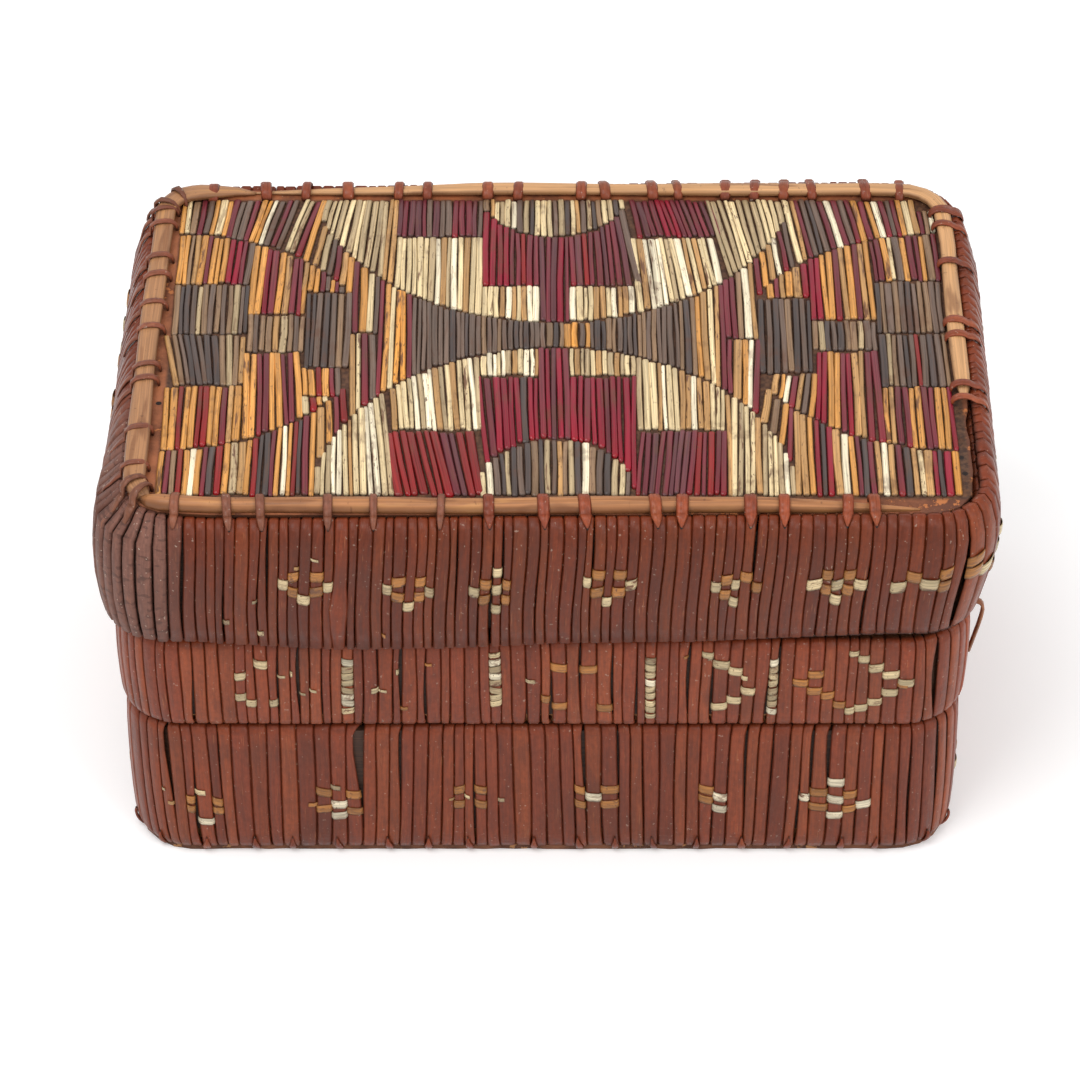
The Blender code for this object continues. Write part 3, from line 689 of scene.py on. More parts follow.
# %% Winding
class Winding:
    """The turns of root round one ring, and where each lies."""

    def __init__(self, outline, reach, profile, pitch, thick, lean, put, broad=lambda x, y: 1.0):
        """reach is the offset at which turns are counted; broad says where they are wider."""
        self.outline, self.reach, self.profile = outline, reach, profile
        self.thick, self.lean, self.put = thick, lean, put
        self.around = outline.marks(reach)[-1]
        self.count = round(self.around / pitch)
        even = np.linspace(0.0, self.around, self.count, endpoint=False)
        self.spots = outline.walk(even, reach, reach)
        widths = np.array([broad(*spot) * CHANCE.uniform(0.70, 1.32) for spot in self.spots])
        self.seams = np.concatenate([[0.0], np.cumsum(widths)]) * self.around / widths.sum()
        self.phases = [CHANCE.uniform(0, 2 * pi) for _ in range(self.count)]
        middles = (self.seams[1:] + self.seams[:-1]) / 2
        self.middles = outline.walk(middles, reach, reach)
        self.turns = []

    def seam(self, index, along):
        """Distance round the ring of one seam, at heights along it."""
        phase = self.phases[index % self.count]
        wander = 0.15 * np.sin(phase + along * 4.5) + 0.09 * np.sin(phase * 3 + along * 10.0)
        x, y = self.spots[index % self.count]
        left = (2.0 + 5.0 * ease(y, -60, -20)) * ease(-x, 98, 106)
        tilt = self.lean * sin(x / 17.0 + 1.0) + left - 1.2 * ease(x, 100, 106)
        return self.seams[index] + wander + tilt * (along - 0.5)

    def turn(self, index, gap, gape, thick, round_off, knot, profile=None):
        """The place of one turn. gape and knot are (size, middle) of a wider gap and of a swelling."""
        knots = (profile or self.profile)(*self.middles[index])

        def place(across, along, up):
            open_gap = gape[0] * np.exp(-(((along - gape[1]) / 0.2) ** 2))
            swell = knot[0] * np.exp(-(((along - knot[1]) / 0.09) ** 2))
            left = self.seam(index, along) + gap / 2 - swell * 0.9
            right = self.seam(index + 1, along) - gap / 2 - open_gap + swell * 0.9
            distance = left + (right - left) * (across + 0.5)
            height = up * thick * (1 + swell) * (1 - round_off * (2 * across) ** 2)
            offset, z = raised(knots, along, height)
            return self.put(self.outline.walk(distance, self.reach, offset), z)

        return place

    def width(self, index):
        return self.seams[index + 1] - self.seams[index]

    def nearest(self, x, y):
        """Index of the turn that stands nearest to a place in plan."""
        return int(np.argmin(np.hypot(self.middles[:, 0] - x, self.middles[:, 1] - y)))


print("a winding can:", *[word for word in vars(Winding) if "_" not in word])


# %% Shades of root, and a whole ring of it
ROOT_SHADES = [paint(132, 63, 38), paint(126, 59, 37), paint(137, 68, 41), paint(121, 57, 37)]
DUSTY_ROOT = paint(118, 80, 68)


def root_shade(bright=1.0, tone=(1.0, 1.0, 1.0)):
    bright *= CHANCE.uniform(0.86, 1.14)
    return tuple(c * t * bright for c, t in zip(CHANCE.choice(ROOT_SHADES), tone))


def blend_dye(a, b, share):
    return tuple(p + (q - p) * share for p, q in zip(a, b))


def wind(name, winding, body, bright, tone=(1, 1, 1), worn=0.04, gaps={}, knots={}, dusty=None):
    """Lay every turn of a ring. dusty says where the root is old, round and grey with dust."""
    bundle = Bundle(ROOT)
    for index in range(winding.count):
        x, y = winding.middles[index]
        old = dusty(x, y) if dusty else 0.0
        thick = winding.thick * (1 + 0.7 * old) * CHANCE.uniform(0.90, 1.12)
        gap = CHANCE.choice([-0.06, -0.03, 0.0, 0.02, 0.05, 0.10]) + 0.35 * old
        slit = CHANCE.uniform(0.4, 0.9) if CHANCE.random() < worn else CHANCE.choice([0, 0, 0, 0, 0.2])
        gape = gaps.get(index, (slit, CHANCE.uniform(0.3, 0.9)))
        knot = knots.get(index, (CHANCE.choice([0, 0, 0, 0, 0.05, 0.1]), CHANCE.uniform(0.2, 0.9)))
        side = max(old, float(ease(x, 98, 108)))
        round_off = 0.04 + 0.26 * side + CHANCE.choice([0.0, 0.0, 0.12])
        place = winding.turn(index, gap, gape, thick, round_off, knot)
        winding.turns.append(place)
        # The one burl root is lighter along its length, and the turns on the side walls are painted lighter,
        # more on the right: painted light.
        burl_and_side_light = 1 + 0.35 * (knot[0] > 0.4) + (0.2 + 0.2 * (x > 0)) * float(ease(abs(x), 103, 109))
        shade = blend_dye(root_shade(bright * burl_and_side_light, tone), DUSTY_ROOT, old)
        bundle.lay(place, winding.width(index), 55.0, shade, 0.08 + 0.8 * old)
    print(winding.count, "turns of root")
    bundle.build(f"{name}_roots", ROOT_FINISH, body, f"{name}_ring_root_wrap")


# %% The three wound rings
def front_left_corner(x, y):
    return float(ease(-x, 90, 97) * ease(-y, 12, 40))


def lid_root_width(x, y):
    front_right = float(ease(x, 102, 106) * ease(-y, 40, 56))
    return 1 + 0.35 * front_left_corner(x, y) + 0.5 * front_right + 0.12 * (x > 100)


def slits(winding, y, places):
    """Gaps that the picture shows, read in threes: x, widest opening, place along the turn."""
    return {winding.nearest(x, y): gape for x, *gape in zip(places[::3], places[1::3], places[2::3])}


lid_winding = Winding(LID, 9.5, lid_section, 3.05, 0.95, 0.4, place_on_lid, lid_root_width)
middle_winding = Winding(RING, 5.5, lambda x, y: MIDDLE_SECTION, 3.2, 0.85, 0.9, place_plain)
lower_winding = Winding(RING, 4.5, lambda x, y: LOWER_SECTION, 3.7, 0.85, 1.8, place_plain)
BURLS = {lid_winding.nearest(-51.0, -74.3): (1.0, 0.66), lid_winding.nearest(64, -74.3): (0.22, 0.8)}

# The second gap of the lowest ring is as wide as a root: one has broken off there.
LID_SLITS = [105.5, 1.7, 0.6, -91.3, 0.7, 0.5, -70, 0.6, 0.42, -52.6, 0.5, 0.72, -24.8, 0.4, 0.42]
LID_SLITS += [-16.3, 0.7, 0.68, -13, 0.5, 0.42, 10.6, 0.45, 0.4, 80.2, 0.5, 0.66]
MIDDLE_SLITS = [-69.6, 0.5, 0.5, -64.6, 0.8, 0.45, -37.5, 0.9, 0.4, -32, 0.7, 0.6, -0.3, 0.9, 0.7]
MIDDLE_SLITS += [8.2, 0.5, 0.35, 17.2, 0.6, 0.5, 23.6, 0.7, 0.7, 36.8, 0.8, 0.4, 41.1, 0.7, 0.6]
MIDDLE_SLITS += [56.5, 0.8, 0.7, 58.2, 0.6, 0.3, 101.8, 1.5, 0.45]
LOWER_SLITS = [-99.7, 1.3, 0.32, -50.8, 2.8, 0.30, -91.4, 0.9, 0.68, -40, 0.7, 0.66, -37.9, 0.8, 0.33]
LOWER_SLITS += [8.7, 0.9, 0.32, 16.1, 0.5, 0.33, 49, 0.6, 0.33, 66.7, 0.7, 0.68, 70.2, 0.8, 0.33]
LOWER_SLITS += [73.4, 1.0, 0.3, 94.9, 0.5, 0.55, 105.5, 0.8, 0.4]

LID_TONE = (0.98, 0.88, 0.70)
LID_GAPS = slits(lid_winding, -73.5, LID_SLITS)
wind("lid", lid_winding, "lid", 0.60, LID_TONE, 0.04, LID_GAPS, BURLS, front_left_corner)
wind("middle", middle_winding, "base", 0.93, worn=0.12, gaps=slits(middle_winding, -68.5, MIDDLE_SLITS))
wind("lower", lower_winding, "base", 0.85, worn=0.06, gaps=slits(lower_winding, -67.5, LOWER_SLITS))


# %% [markdown]
# ## The bark panels
#
# The panel shows between the quills and the hoop, and at the front right corner, where the hoop is
# gone and its rim stands free of the roots. It starts as a disc whose rim points are moved out to the
# lid's outline. At the bare corner they stay further in, and unevenly, because the edge is chipped
# there. A bevel rounds the rim. The bottom of the box is a second disc, made the same way.


# %% Bark discs
RIM_POINTS, RIM_BEVEL = 160, 0.4


def bark_disc(name, outline, rim, low, top, lean, finish, body, node):
    """A bark disc with a worn, bevelled rim. rim gives its offset at a place in plan."""
    start_piece()
    bpy.ops.mesh.primitive_cylinder_add(vertices=RIM_POINTS, radius=1.0, depth=1.0)
    obj = bpy.context.object
    obj.name = name
    spots = obj.data.vertices
    angles = [round(np.arctan2(spot.co.y, spot.co.x), 5) for spot in spots]
    order = sorted(range(len(spots)), key=lambda i: (angles[i], spots[i].co.z))
    around = np.linspace(0, outline.marks(0.0)[-1], RIM_POINTS, endpoint=False)
    stations = outline.station(around)
    plans = outline.at(stations, 0.0)
    for pair, turn in enumerate(np.argsort(np.arctan2(plans[:, 1], plans[:, 0]))):
        x, y = outline.at(stations[turn], rim(*plans[turn]))
        for corner, z in enumerate((low, top)):
            spots[order[2 * pair + corner]].co = ((x + lean) * MM, y * MM, z * MM)
    bevel = obj.modifiers.new("worn rim", "BEVEL")
    bevel.width, bevel.segments = RIM_BEVEL * MM, 2
    bevel.limit_method, bevel.angle_limit = "ANGLE", radians(60)
    bpy.ops.object.modifier_apply(modifier=bevel.name)
    settle(obj, finish, body, node)


def lid_rim(x, y):
    bare = ease(x, 99, 104) * ease(-y, 16, 28)
    return PANEL_RIM - 0.5 - drawn_in(x, y)[0] - bare * (1.5 + CHANCE.uniform(-0.5, 0.3))


def bottom_rim(x, y):
    return 2.4 + CHANCE.uniform(-0.2, 0.2)


LID_DISC = (PANEL_LOW, PANEL_TOP, LID_LEAN, PANEL_FINISH, "lid", "lid_panel")
BOTTOM_DISC = (0.0, 1.8, 0.0, BOTTOM_FINISH, "base", "bottom_panel")
bark_disc("lid_bark_panel", LID, lid_rim, *LID_DISC)
bark_disc("bottom_bark_panel", RING, bottom_rim, *BOTTOM_DISC)


# %% [markdown]
# ## Hoop sticks
#
# Three peeled sticks lie on the rim of the panel. They are drawn by hand, so a stick's width and
# height swell and shrink along its length, and its ends are whittled to a point where two overlap.


# %% Hoops
HOOP_REACH = 2.0


def hoop(side, start, end, width, height, boxy, tips, shade):
    """A stick between two stations. boxy is how flat its top is; tips are its whittled lengths."""
    first = LID.distance(start, HOOP_REACH)
    length = LID.distance(end, HOOP_REACH) - first
    phase = CHANCE.uniform(0, 6)
    bundle = Bundle(STICK)

    def place(across, along, up):
        distance = first + length * along
        swell = 1 + 0.05 * np.sin(distance / 9.0 + phase) + 0.04 * np.sin(distance / 23.0 + 2 * phase)
        tip = np.minimum(ease(along * length, -1.5, tips[0]), ease((1 - along) * length, -1.5, tips[1]))
        swell = swell * tip**0.6
        rim = drawn_in(*LID.walk(distance, HOOP_REACH, 0.0).T)[0]
        sway = 0.25 * np.sin(distance / 17.0 + phase)
        offset = PANEL_RIM - rim - width / 2 + sway + across * width * swell
        sag = 1.1 * ease(across, 0.1, 0.5) * (1 - up)
        z = PANEL_TOP + 0.1 - sag + (1 - (1 - up) ** boxy) * height * swell
        points = LID.walk(distance, HOOP_REACH, offset)
        points[..., 0] += LID_LEAN
        return place_plain(points, z)

    bundle.lay(place, width * 1.6, length, shade)
    bundle.build(f"{side}_stick", HOOP_FINISH, "lid", f"hoop_{side}")


hoop("front", 5.55, 6.985, 4.2, 3.2, 1.2, (5.0, 40.0), paint(168, 113, 71))
hoop("left", 2.915, 5.62, 5.6, 2.9, 2.2, (14.0, 5.0), paint(168, 120, 82))
hoop("back_right", 0.30, 2.92, 4.6, 2.6, 2.0, (5.0, 60.0), paint(202, 153, 106))


# %% [markdown]
# ## Root lashing
#
# The sticks are tied down by root that comes up between hoop and quills, crosses the stick as a flat
# band and dives into a hole between two turns of the wall. Each crossing is a strip that narrows to
# a point at that hole. Except on the left, a small dark piece beyond the tip is the painted shade in
# that hole. Their places along the four sides are uneven, as the maker found the gaps.


# %% Places of the lashing
FRONT_OLD, FRONT_NEW = [-91.6, -78.9, -70.5, -53.6, -42.2, -25.3], [-13.6, 0, 10.2, 27.8, 34.7, 51.6]
FRONT_NEW += [60, 75.9, 82.4]
BACK_LOOPS = [-88.8, -74.6, -63.7, -52.5, -38.8, -31.1, -14.8, -6.6, 10.4, 16.7, 29.5, 36.3, 49.2]
BACK_LOOPS += [57.1, 65, 72.4, 86.9, 96.2]
LEFT_LOOPS = [60.5, 50, 35.3, 27.2, 14.9, 4.5, -11.5, -17.3, -37.5, -52]
RIGHT_LOOPS = [60.5, 56, 49.7, 33.2, 7.6, 1.5, -19.3, -25]
LEFT_CORNERS = [(3.3, 1.5), (3.75, 0.5), (5.2, 3.0), (5.5, 1.0)]
HOLE_SHADE = paint(26, 14, 10)
SIDE_MIDDLES = {"right": 0.5, "back": 2.5, "left": 4.5, "front": 6.5}


def side_station(side, place):
    """Station of a place on a side: X on the front and back, Y on the left and right."""
    long_side = side in ("front", "back")
    half, value = (LID.flat[0], place - LID_LEAN) if long_side else (LID.flat[1], place)
    way = 1 if side in ("right", "front") else -1
    return SIDE_MIDDLES[side] + way * np.clip(value / half, -1.35, 1.35) / 2


print("middle of the back is station", side_station("back", LID_LEAN))


# %% One crossing
def loop(bundle, station, width, lean, stick, reach, shade, age, hole, thick=0.6):
    """One crossing over the stick at a station. reach is how far down the wall's section it goes."""
    plan = LID.at(station, 0.0)
    outer, (wide, high) = PANEL_RIM - drawn_in(*plan)[0], stick
    inner, base = outer - wide, PANEL_TOP + 0.1
    knots = [(inner - 0.7, base - 0.9), (inner - 0.6, base + 0.6), (inner - 0.05, base + high * 0.78)]
    over = ((0.25, 0.04), (0.5, 0.12), (0.75, 0.04))
    knots += [(inner + wide * share, base + high + up) for share, up in over]
    knots += [(outer + 0.1, base + high * 0.74)]
    wall, out = section(lid_section(*plan), np.linspace(0.15, reach, 6))
    lift = np.array([1.25, 1.2, 1.15, 1.1, 0.95, 0.75])
    knots = np.concatenate([knots, wall + out * lift[:, None]])
    middle = LID.distance(station, HOOP_REACH)

    def strip(start, end, tip, raise_by):
        """Part of the crossing between two values of t; tip is how wide its end is."""

        def place(across, along, up):
            t = start + (end - start) * along
            broad = np.interp(along, (0, 0.1, 0.70, 0.86, 1), (0.7, 1, 1, (1 + tip) / 2, tip))
            if start:
                broad = 0.42 * (1 - along) ** 0.5
            offset, z = raised(knots, t, up * thick * (0.5 + 0.5 * broad) + raise_by)
            distance = middle + across * width * broad + lean * (t - 0.3)
            return place_on_lid(LID.walk(distance, HOOP_REACH, offset), z)

        return place

    bundle.lay(strip(0.0, 0.94, 0.42 if width < 2.5 else 0.2, 0.0), width, 18.0, shade, age)
    # painted shade: a small dark piece beyond the tip stands for the hole it goes into
    if hole:
        bundle.lay(strip(0.88, 1.0, 0, -0.2), width, 2.0, HOLE_SHADE)


print("a crossing has", len(LASH.faces), "faces")


# %% The four sides, lashed
def lashing(side, stick, reach, lean, *groups, corners=()):
    """All crossings of one side, in groups of places, narrowest and widest root, and greyness."""
    bundle = Bundle(LASH)
    for places, narrow, broad, grey in groups:
        for at in places:
            width = CHANCE.uniform(narrow, broad)
            shade = blend_dye(root_shade(1.15), paint(122, 84, 66), grey)
            tilt = lean + CHANCE.uniform(-1.3, 1.3)
            station = side_station(side, at)
            loop(bundle, station, width, tilt, stick, reach, shade, 0.4 * grey, side != "left")
    for station, tilt in corners:
        loop(bundle, station, 2.3, tilt, (5.2, 3.2), 0.34, paint(124, 78, 58), 0.4, False, 0.8)
    bundle.build(f"{side}_lashing", LASH_FINISH, "lid", f"lashing_{side}")


lashing("front", (4.2, 3.2), 0.275, 0.3, (FRONT_OLD, 1.9, 2.4, 0.6), (FRONT_NEW, 2.6, 3.3, 0.0))
lashing("left", (5.6, 2.9), 0.40, 3.0, (LEFT_LOOPS, 1.9, 2.4, 0.5), corners=LEFT_CORNERS)
lashing("back", (4.6, 2.3), 0.33, 0.0, (BACK_LOOPS, 2.4, 3.2, 0.2))
lashing("right", (4.6, 2.6), 0.29, -1.2, (RIGHT_LOOPS, 2.5, 3.2, 0.1))


# %% [markdown]
# ## Quills
#
# A porcupine quill is flattened and pushed through the bark at both ends, so it lies like a small
# staple. All of them run from front to back here, side by side, and the picture comes from where each
# one starts and stops and from its dye. Vegetable dyes fade unevenly, so every quill varies, many have
# a brown stain, and the ends are darker. The edges of each quill are painted darker: painted shade.
# One finish serves all: the dye is in the strand.


# %% Quill finish
def quill_finish(name, dark_ends_and_spots):
    f = Finish(name, coat=0.12)
    streak, stain = f.grain(2.6, 0.10, 3.0, 0.6), f.grain(0.8, 0.22, 3.0, 0.65)
    fine, pit, split = f.grain(7.0, 0.5, 1.0), f.grain(1.6, 1.1, 2.0, 0.6), f.grain(5.0, 0.12)
    age = f.attribute("age")
    side = f.attribute("across").size().ramp(0.33, 0.50)
    end = ((f.attribute("along") - 0.5).size() + stain * 0.12).ramp(0.34, 0.54)
    spot = f.noise(f.place(), 60.0, 4.0, 0.7).ramp(0.55, 0.66) * stain.ramp(0.38, 0.52)
    wet = f.attribute("along").ramp(0.55, 0.10) * f.attribute("wet")
    color = f.layers(
        f.times(f.attribute("dye", "Color"), streak.ramp(0.28, 0.72, 0.66, 1.26)),
        (split.ramp(0.60, 0.68) * 0.45, (92, 60, 40)),
        (stain.ramp(0.54, 0.66) * age, (104, 66, 42)),
        (pit.ramp(0.62, 0.70) * (0.25 + age * 0.6), (84, 50, 32)),
        # painted shade along each quill's edges, with darker ends
        ((side * 0.45 + end * dark_ends_and_spots).ramp(0.0, 1.05), (52, 34, 24)),
        (spot * 0.6 * dark_ends_and_spots, (94, 56, 34)),
        (wet * 0.7, (158, 12, 26)),
    )
    rough = (streak.ramp(0.3, 0.7, 0.26, 0.44) + end * 0.25) * (1 - wet * 0.7)
    f.set(Base_Color=color, Roughness=rough)
    f.bump(streak * 0.5 + fine * 0.4, 0.35, 0.25)
    return f.material


QUILL_FINISH = quill_finish("quill", 0.8)
WOVEN_FINISH = quill_finish("woven_quill", 0.2)
print("quill finish:", len(QUILL_FINISH.node_tree.nodes), "nodes")

# %% [markdown]
# The dyes are named by one letter each, so that a row of quills can be written as a word, as in a
# weaver's draft. A draft that starts with a star is a mixture to draw from by chance.

# %% Dyes
DYES = {
    "c": (230, 205, 158), "w": (248, 233, 200), "g": (184, 160, 122), "n": (190, 144, 90),
    "o": (212, 149, 76), "y": (230, 157, 70), "m": (116, 42, 52), "p": (102, 52, 58),
    "r": (138, 18, 43), "q": (134, 28, 27), "d": (108, 88, 76), "k": (78, 66, 62),
    "t": (142, 112, 84), "b": (186, 122, 58),
}
DYES = {letter: paint(*screen) for letter, screen in DYES.items()}


def draft(word, count):
    """The dye letters of count quills."""
    if word.startswith("*"):
        return [CHANCE.choice(word[1:]) for _ in range(count)]
    return [word[i % len(word)] for i in range(count)]


print(len(DYES), "dyes; a draft repeats:", *draft("cgn", 5))


# %% Arcs
def arc(x, y, reach_x, reach_y, side):
    """Half an ellipse, as a height over X: side 1 is its upper half, -1 its lower half."""
    return lambda at: y + side * reach_y * sqrt(max(0.0, 1 - ((at - x) / reach_x) ** 2))


FRONT, BACK, AXIS = -62.0, 63.5, 3.0
FRONT_ARC, BACK_ARC = arc(AXIS, -62.5, 61.0, 61.0, 1), arc(AXIS, 74.3, 65.0, 65.0, -1)
FRONT_SMALL, BACK_SMALL = arc(AXIS, -58.8, 19.5, 19.5, 1), arc(AXIS, 66.5, 19.8, 19.8, -1)
LEFT_BACK, LEFT_FRONT = [arc(-98.0, 2.0, 52.0, 46.0, side) for side in (1, -1)]
RIGHT_BACK, RIGHT_FRONT = [arc(106.0, 2.0, 54.0, 46.0, side) for side in (1, -1)]


def bound(limit, x):
    """Where a row ends at x, inside the front and back edges of the quillwork."""
    return min(max(limit(x) if callable(limit) else limit, FRONT), BACK)


print("wedge at the middle:", round(BACK_ARC(AXIS) - FRONT_ARC(AXIS), 1), "mm")


# %% [markdown]
# The maker's rows lean where they had to turn a corner of the pattern. A few soft hills of slope,
# each round one place of the lid, give every quill its lean, so that neighbours lean alike.

# %% The lean of the rows
LEANS = [
    # middle x, y, reach x, y, slope
    (-68, 52, 20, 18, 0.20), (-95, -8, 12, 14, -0.17), (-28, -50, 16, 13, -0.15),
    (38, 50, 20, 20, -0.22), (82, 52, 22, 16, -0.14), (62, -24, 12, 16, 0.14),
    (32, -50, 14, 12, 0.08), (-62, -24, 12, 14, -0.08), (-26, -28, 22, 20, -0.07),
]


def slope(x, y):
    total = 0.0
    for mid_x, mid_y, reach_x, reach_y, lean in LEANS:
        total += lean * np.exp(-(((x - mid_x) / reach_x) ** 2) - ((y - mid_y) / reach_y) ** 2)
    return total


print("lean at the back left:", round(slope(-68, 52), 2))


# %% Laying quills
QUILL_PITCH, QUILL_LOW = 1.66, 117.42
# A quill's end bends down over its last millimetre: distances from the end, and heights along it.
END_STEPS = np.array([0.0, 0.45, 1.1])
DROP = [-0.75, -0.10, 0.06, 0.10, 0.06, -0.10, -0.75]


def quill(bundle, start, end, width, thick, letter, age, fade):
    """One quill from start to end, both (x, y). Its ends go down into the bark."""
    (x0, y0), (x1, y1) = start, end
    length = max(2.0, y1 - y0)
    rest = np.linspace(0, 1, 7)
    steps = np.concatenate([END_STEPS, [length / 2], length - END_STEPS[::-1]]) / length
    bow = CHANCE.uniform(-0.28, 0.28)
    rise = CHANCE.uniform(-0.05, 0.16)
    roll, taper = CHANCE.uniform(-0.14, 0.14), CHANCE.uniform(-0.12, 0.12)

    def place(across, along, up):
        t = np.interp(along, rest, steps)
        z = QUILL_LOW + rise + np.interp(along, rest, DROP) + up * thick + across * roll
        wide = width * (1 - taper * t) * np.interp(along, (0, 1 / 6, 5 / 6, 1), (0.7, 1, 1, 0.7))
        x = x0 + (x1 - x0) * t + across * wide + bow * np.sin(pi * t)
        return np.stack([x, y0 + (y1 - y0) * t, z], -1)

    red, front = letter in "rqm", letter in "rq" and y0 < -20
    wet = CHANCE.choice([0.2, 0.6, 1.0]) if front else CHANCE.choice([0, 0, 0, 0.7]) * red
    bundle.lay(place, width, length, tuple(c * fade for c in DYES[letter]), age, wet)


def row(bundle, span, low, high, word, pitch=None):
    """A strip of quills side by side over a span of X, from the low to the high bound."""
    (left, right), count = span, len(word)
    if pitch or word.startswith("*"):
        count = round((right - left) / (pitch or QUILL_PITCH))
    shares = np.cumsum([0.0] + [CHANCE.uniform(0.76, 1.28) for _ in range(count)])
    seams = left + (right - left) * shares / shares[-1]
    for index, letter in enumerate(draft(word, count)):
        x, space = (seams[index] + seams[index + 1]) / 2, seams[index + 1] - seams[index]
        y0, y1 = bound(low, x), bound(high, x)
        middle = (y0 + y1) / 2
        lean = slope(x, middle) + CHANCE.uniform(-0.016, 0.016)
        for _ in range(2):
            y0 = bound(low, x + lean * (y0 - middle))
            y1 = bound(high, x + lean * (y1 - middle))
        y0 += CHANCE.choice([-0.2, 0.0, 0.15, 0.3, 0.7])
        y1 -= CHANCE.choice([-0.2, 0.0, 0.15, 0.3, 0.7])
        if y1 - y0 < 1.2 or CHANCE.random() < 0.002:
            continue
        start, end = [(x + lean * (y - middle), y) for y in (y0, y1)]
        width = space * CHANCE.uniform(0.88, 1.06) * (0.96 if letter in "rqm" else 1.0)
        age = CHANCE.choice([0.15, 0.3, 0.5, 0.95]) if letter in "cwgnoy" else 0.3
        thick, fade = CHANCE.uniform(0.46, 0.62), CHANCE.uniform(0.8, 1.16)
        quill(bundle, start, end, width, thick, letter, age, fade)


def area(name, *rows):
    """One worked area, which stands for the frame's plate of that name."""
    bundle = Bundle(QUILL)
    for strip in rows:
        row(bundle, *strip)
    bundle.build(f"quills_{name}", QUILL_FINISH, "lid", name)


print("quills lie about", QUILL_PITCH, "mm apart")


# %% [markdown]
# The half circles at the front and the back hold a stepped cross each, on a cream ground, over a
# small half circle of mixed quills. In the front cross the wide block and the stem are crimson, its
# left arm brick red and its right arm maroon. The back cross is mostly plum.

# %% Front and back half circles
# Spans of both crosses over X, and the edges of their arms and blocks.
LEFT_ARM, LEFT_BLOCK, STEM, RIGHT_BLOCK, RIGHT_ARM = (-39, -16), (-16, -1), (-1, 7), (7, 24), (24, 46.5)
ARM_FRONT, BLOCK_FRONT, BLOCK_BACK, ARM_BACK = -36, -13.5, 25, 46.5

area(
    "front_cross",
    (LEFT_ARM, FRONT, ARM_FRONT, "*qqqmqp", 2.05),
    (LEFT_BLOCK, FRONT_SMALL, BLOCK_FRONT, "rmrrrrkrr"),
    (STEM, FRONT_SMALL, FRONT_ARC, "mrprm"),
    (RIGHT_BLOCK, FRONT_SMALL, BLOCK_FRONT, "rrmrrmrrrr"),
    (RIGHT_ARM, FRONT, ARM_FRONT, "mmpmmpppmqmqmm"),
)
area("front_small_half_circle", ((-16, 22), FRONT, FRONT_SMALL, "cwdkgkdktkgdntgkwtdkgcd"))
area(
    "front_cream_left",
    ((-57.5, -39), FRONT, FRONT_ARC, "gcgwwcnccwwcg", 1.42),
    (LEFT_ARM, ARM_FRONT, FRONT_ARC, "*ccwcwwgcn", 1.42),
    (LEFT_BLOCK, BLOCK_FRONT, FRONT_ARC, "*cwcwng", 1.42),
)
area(
    "front_cream_right",
    (RIGHT_BLOCK, BLOCK_FRONT, FRONT_ARC, "*cgnccg", 1.46),
    (RIGHT_ARM, ARM_FRONT, FRONT_ARC, "*cnccwncg", 1.46),
    ((46.5, 63.5), FRONT, FRONT_ARC, "ncgccngccgwg"),
)
area(
    "back_cross",
    (LEFT_ARM, ARM_BACK, BACK, "*pmppdm"),
    (LEFT_BLOCK, BLOCK_BACK, BACK_SMALL, "rrrrmmqmm"),
    (STEM, BACK_ARC, BACK_SMALL, "pmprm"),
    (RIGHT_BLOCK, BLOCK_BACK, BACK_SMALL, "mpqmmpmmpd"),
    (RIGHT_ARM, ARM_BACK, BACK, "mpmmrrrmmpmmpm"),
)
area("back_small_half_circle", ((-16, 22), BACK_SMALL, BACK, "tncgcwdgkcccdgkcndgktcgkc"))
area(
    "back_cream_left",
    ((-60, -39), BACK_ARC, BACK, "*gcggcn", 1.5),
    (LEFT_ARM, BACK_ARC, ARM_BACK, "*cwcgccn", 1.5),
    (LEFT_BLOCK, BACK_ARC, BLOCK_BACK, "*cwccn", 1.5),
)
area(
    "back_cream_right",
    (RIGHT_BLOCK, BACK_ARC, BLOCK_BACK, "*ccnwc", 1.5),
    (RIGHT_ARM, BACK_ARC, ARM_BACK, "*cwcnwcg", 1.5),
    ((46.5, 66), BACK_ARC, BACK, "*gcgcg", 1.5),
)

# %% [markdown]
# Between the half circles a dark wedge runs in from each side and pinches at the middle, with
# striped bands at its ends. Outside them, each end of the lid has a dark stepped figure with striped
# blocks behind and in front, and striped corners beyond a low curve.

# %% Wedges, bands, steps and corners
# Spans over X of the steps at both ends of the lid.
LEFT_OUTER, LEFT_INNER, RIGHT_INNER, RIGHT_OUTER = (-97, -77), (-77, -62), (70, 87), (87, 105)

area(
    "bow_tie",
    ((-34, 5.5), FRONT_ARC, BACK_ARC, "*ddtkdtd", 1.4),
    ((5.5, 12.3), -1.2, 9.5, "oydo"),
    ((12.3, 40), FRONT_ARC, BACK_ARC, "*kdtdkd", 1.4),
)
area(
    "left_bow_stripes",
    ((-50, -43), 4.5, BACK_ARC, "mocd"),
    ((-50, -43), FRONT_ARC, 4.5, "ncmd"),
    ((-43, -34), FRONT_ARC, BACK_ARC, "mocyym"),
)
area(
    "right_bow_stripes",
    ((40, 47.5), FRONT_ARC, BACK_ARC, "oncnm"),
    ((47.5, 56), 2, BACK_ARC, "mmtwn"),
    ((47.5, 56), FRONT_ARC, 2, "mnowm"),
)
area(
    "left_steps",
    (LEFT_OUTER, 4, 25.5, "tkkdgtdtdtgdk"),
    (LEFT_OUTER, -17.5, 4, "ntdkkdkktgtn"),
    (LEFT_INNER, -3.5, 12.5, "tdttngtdt"),
    ((-62, -50), -10, 22, "kkdkdtd"),
)
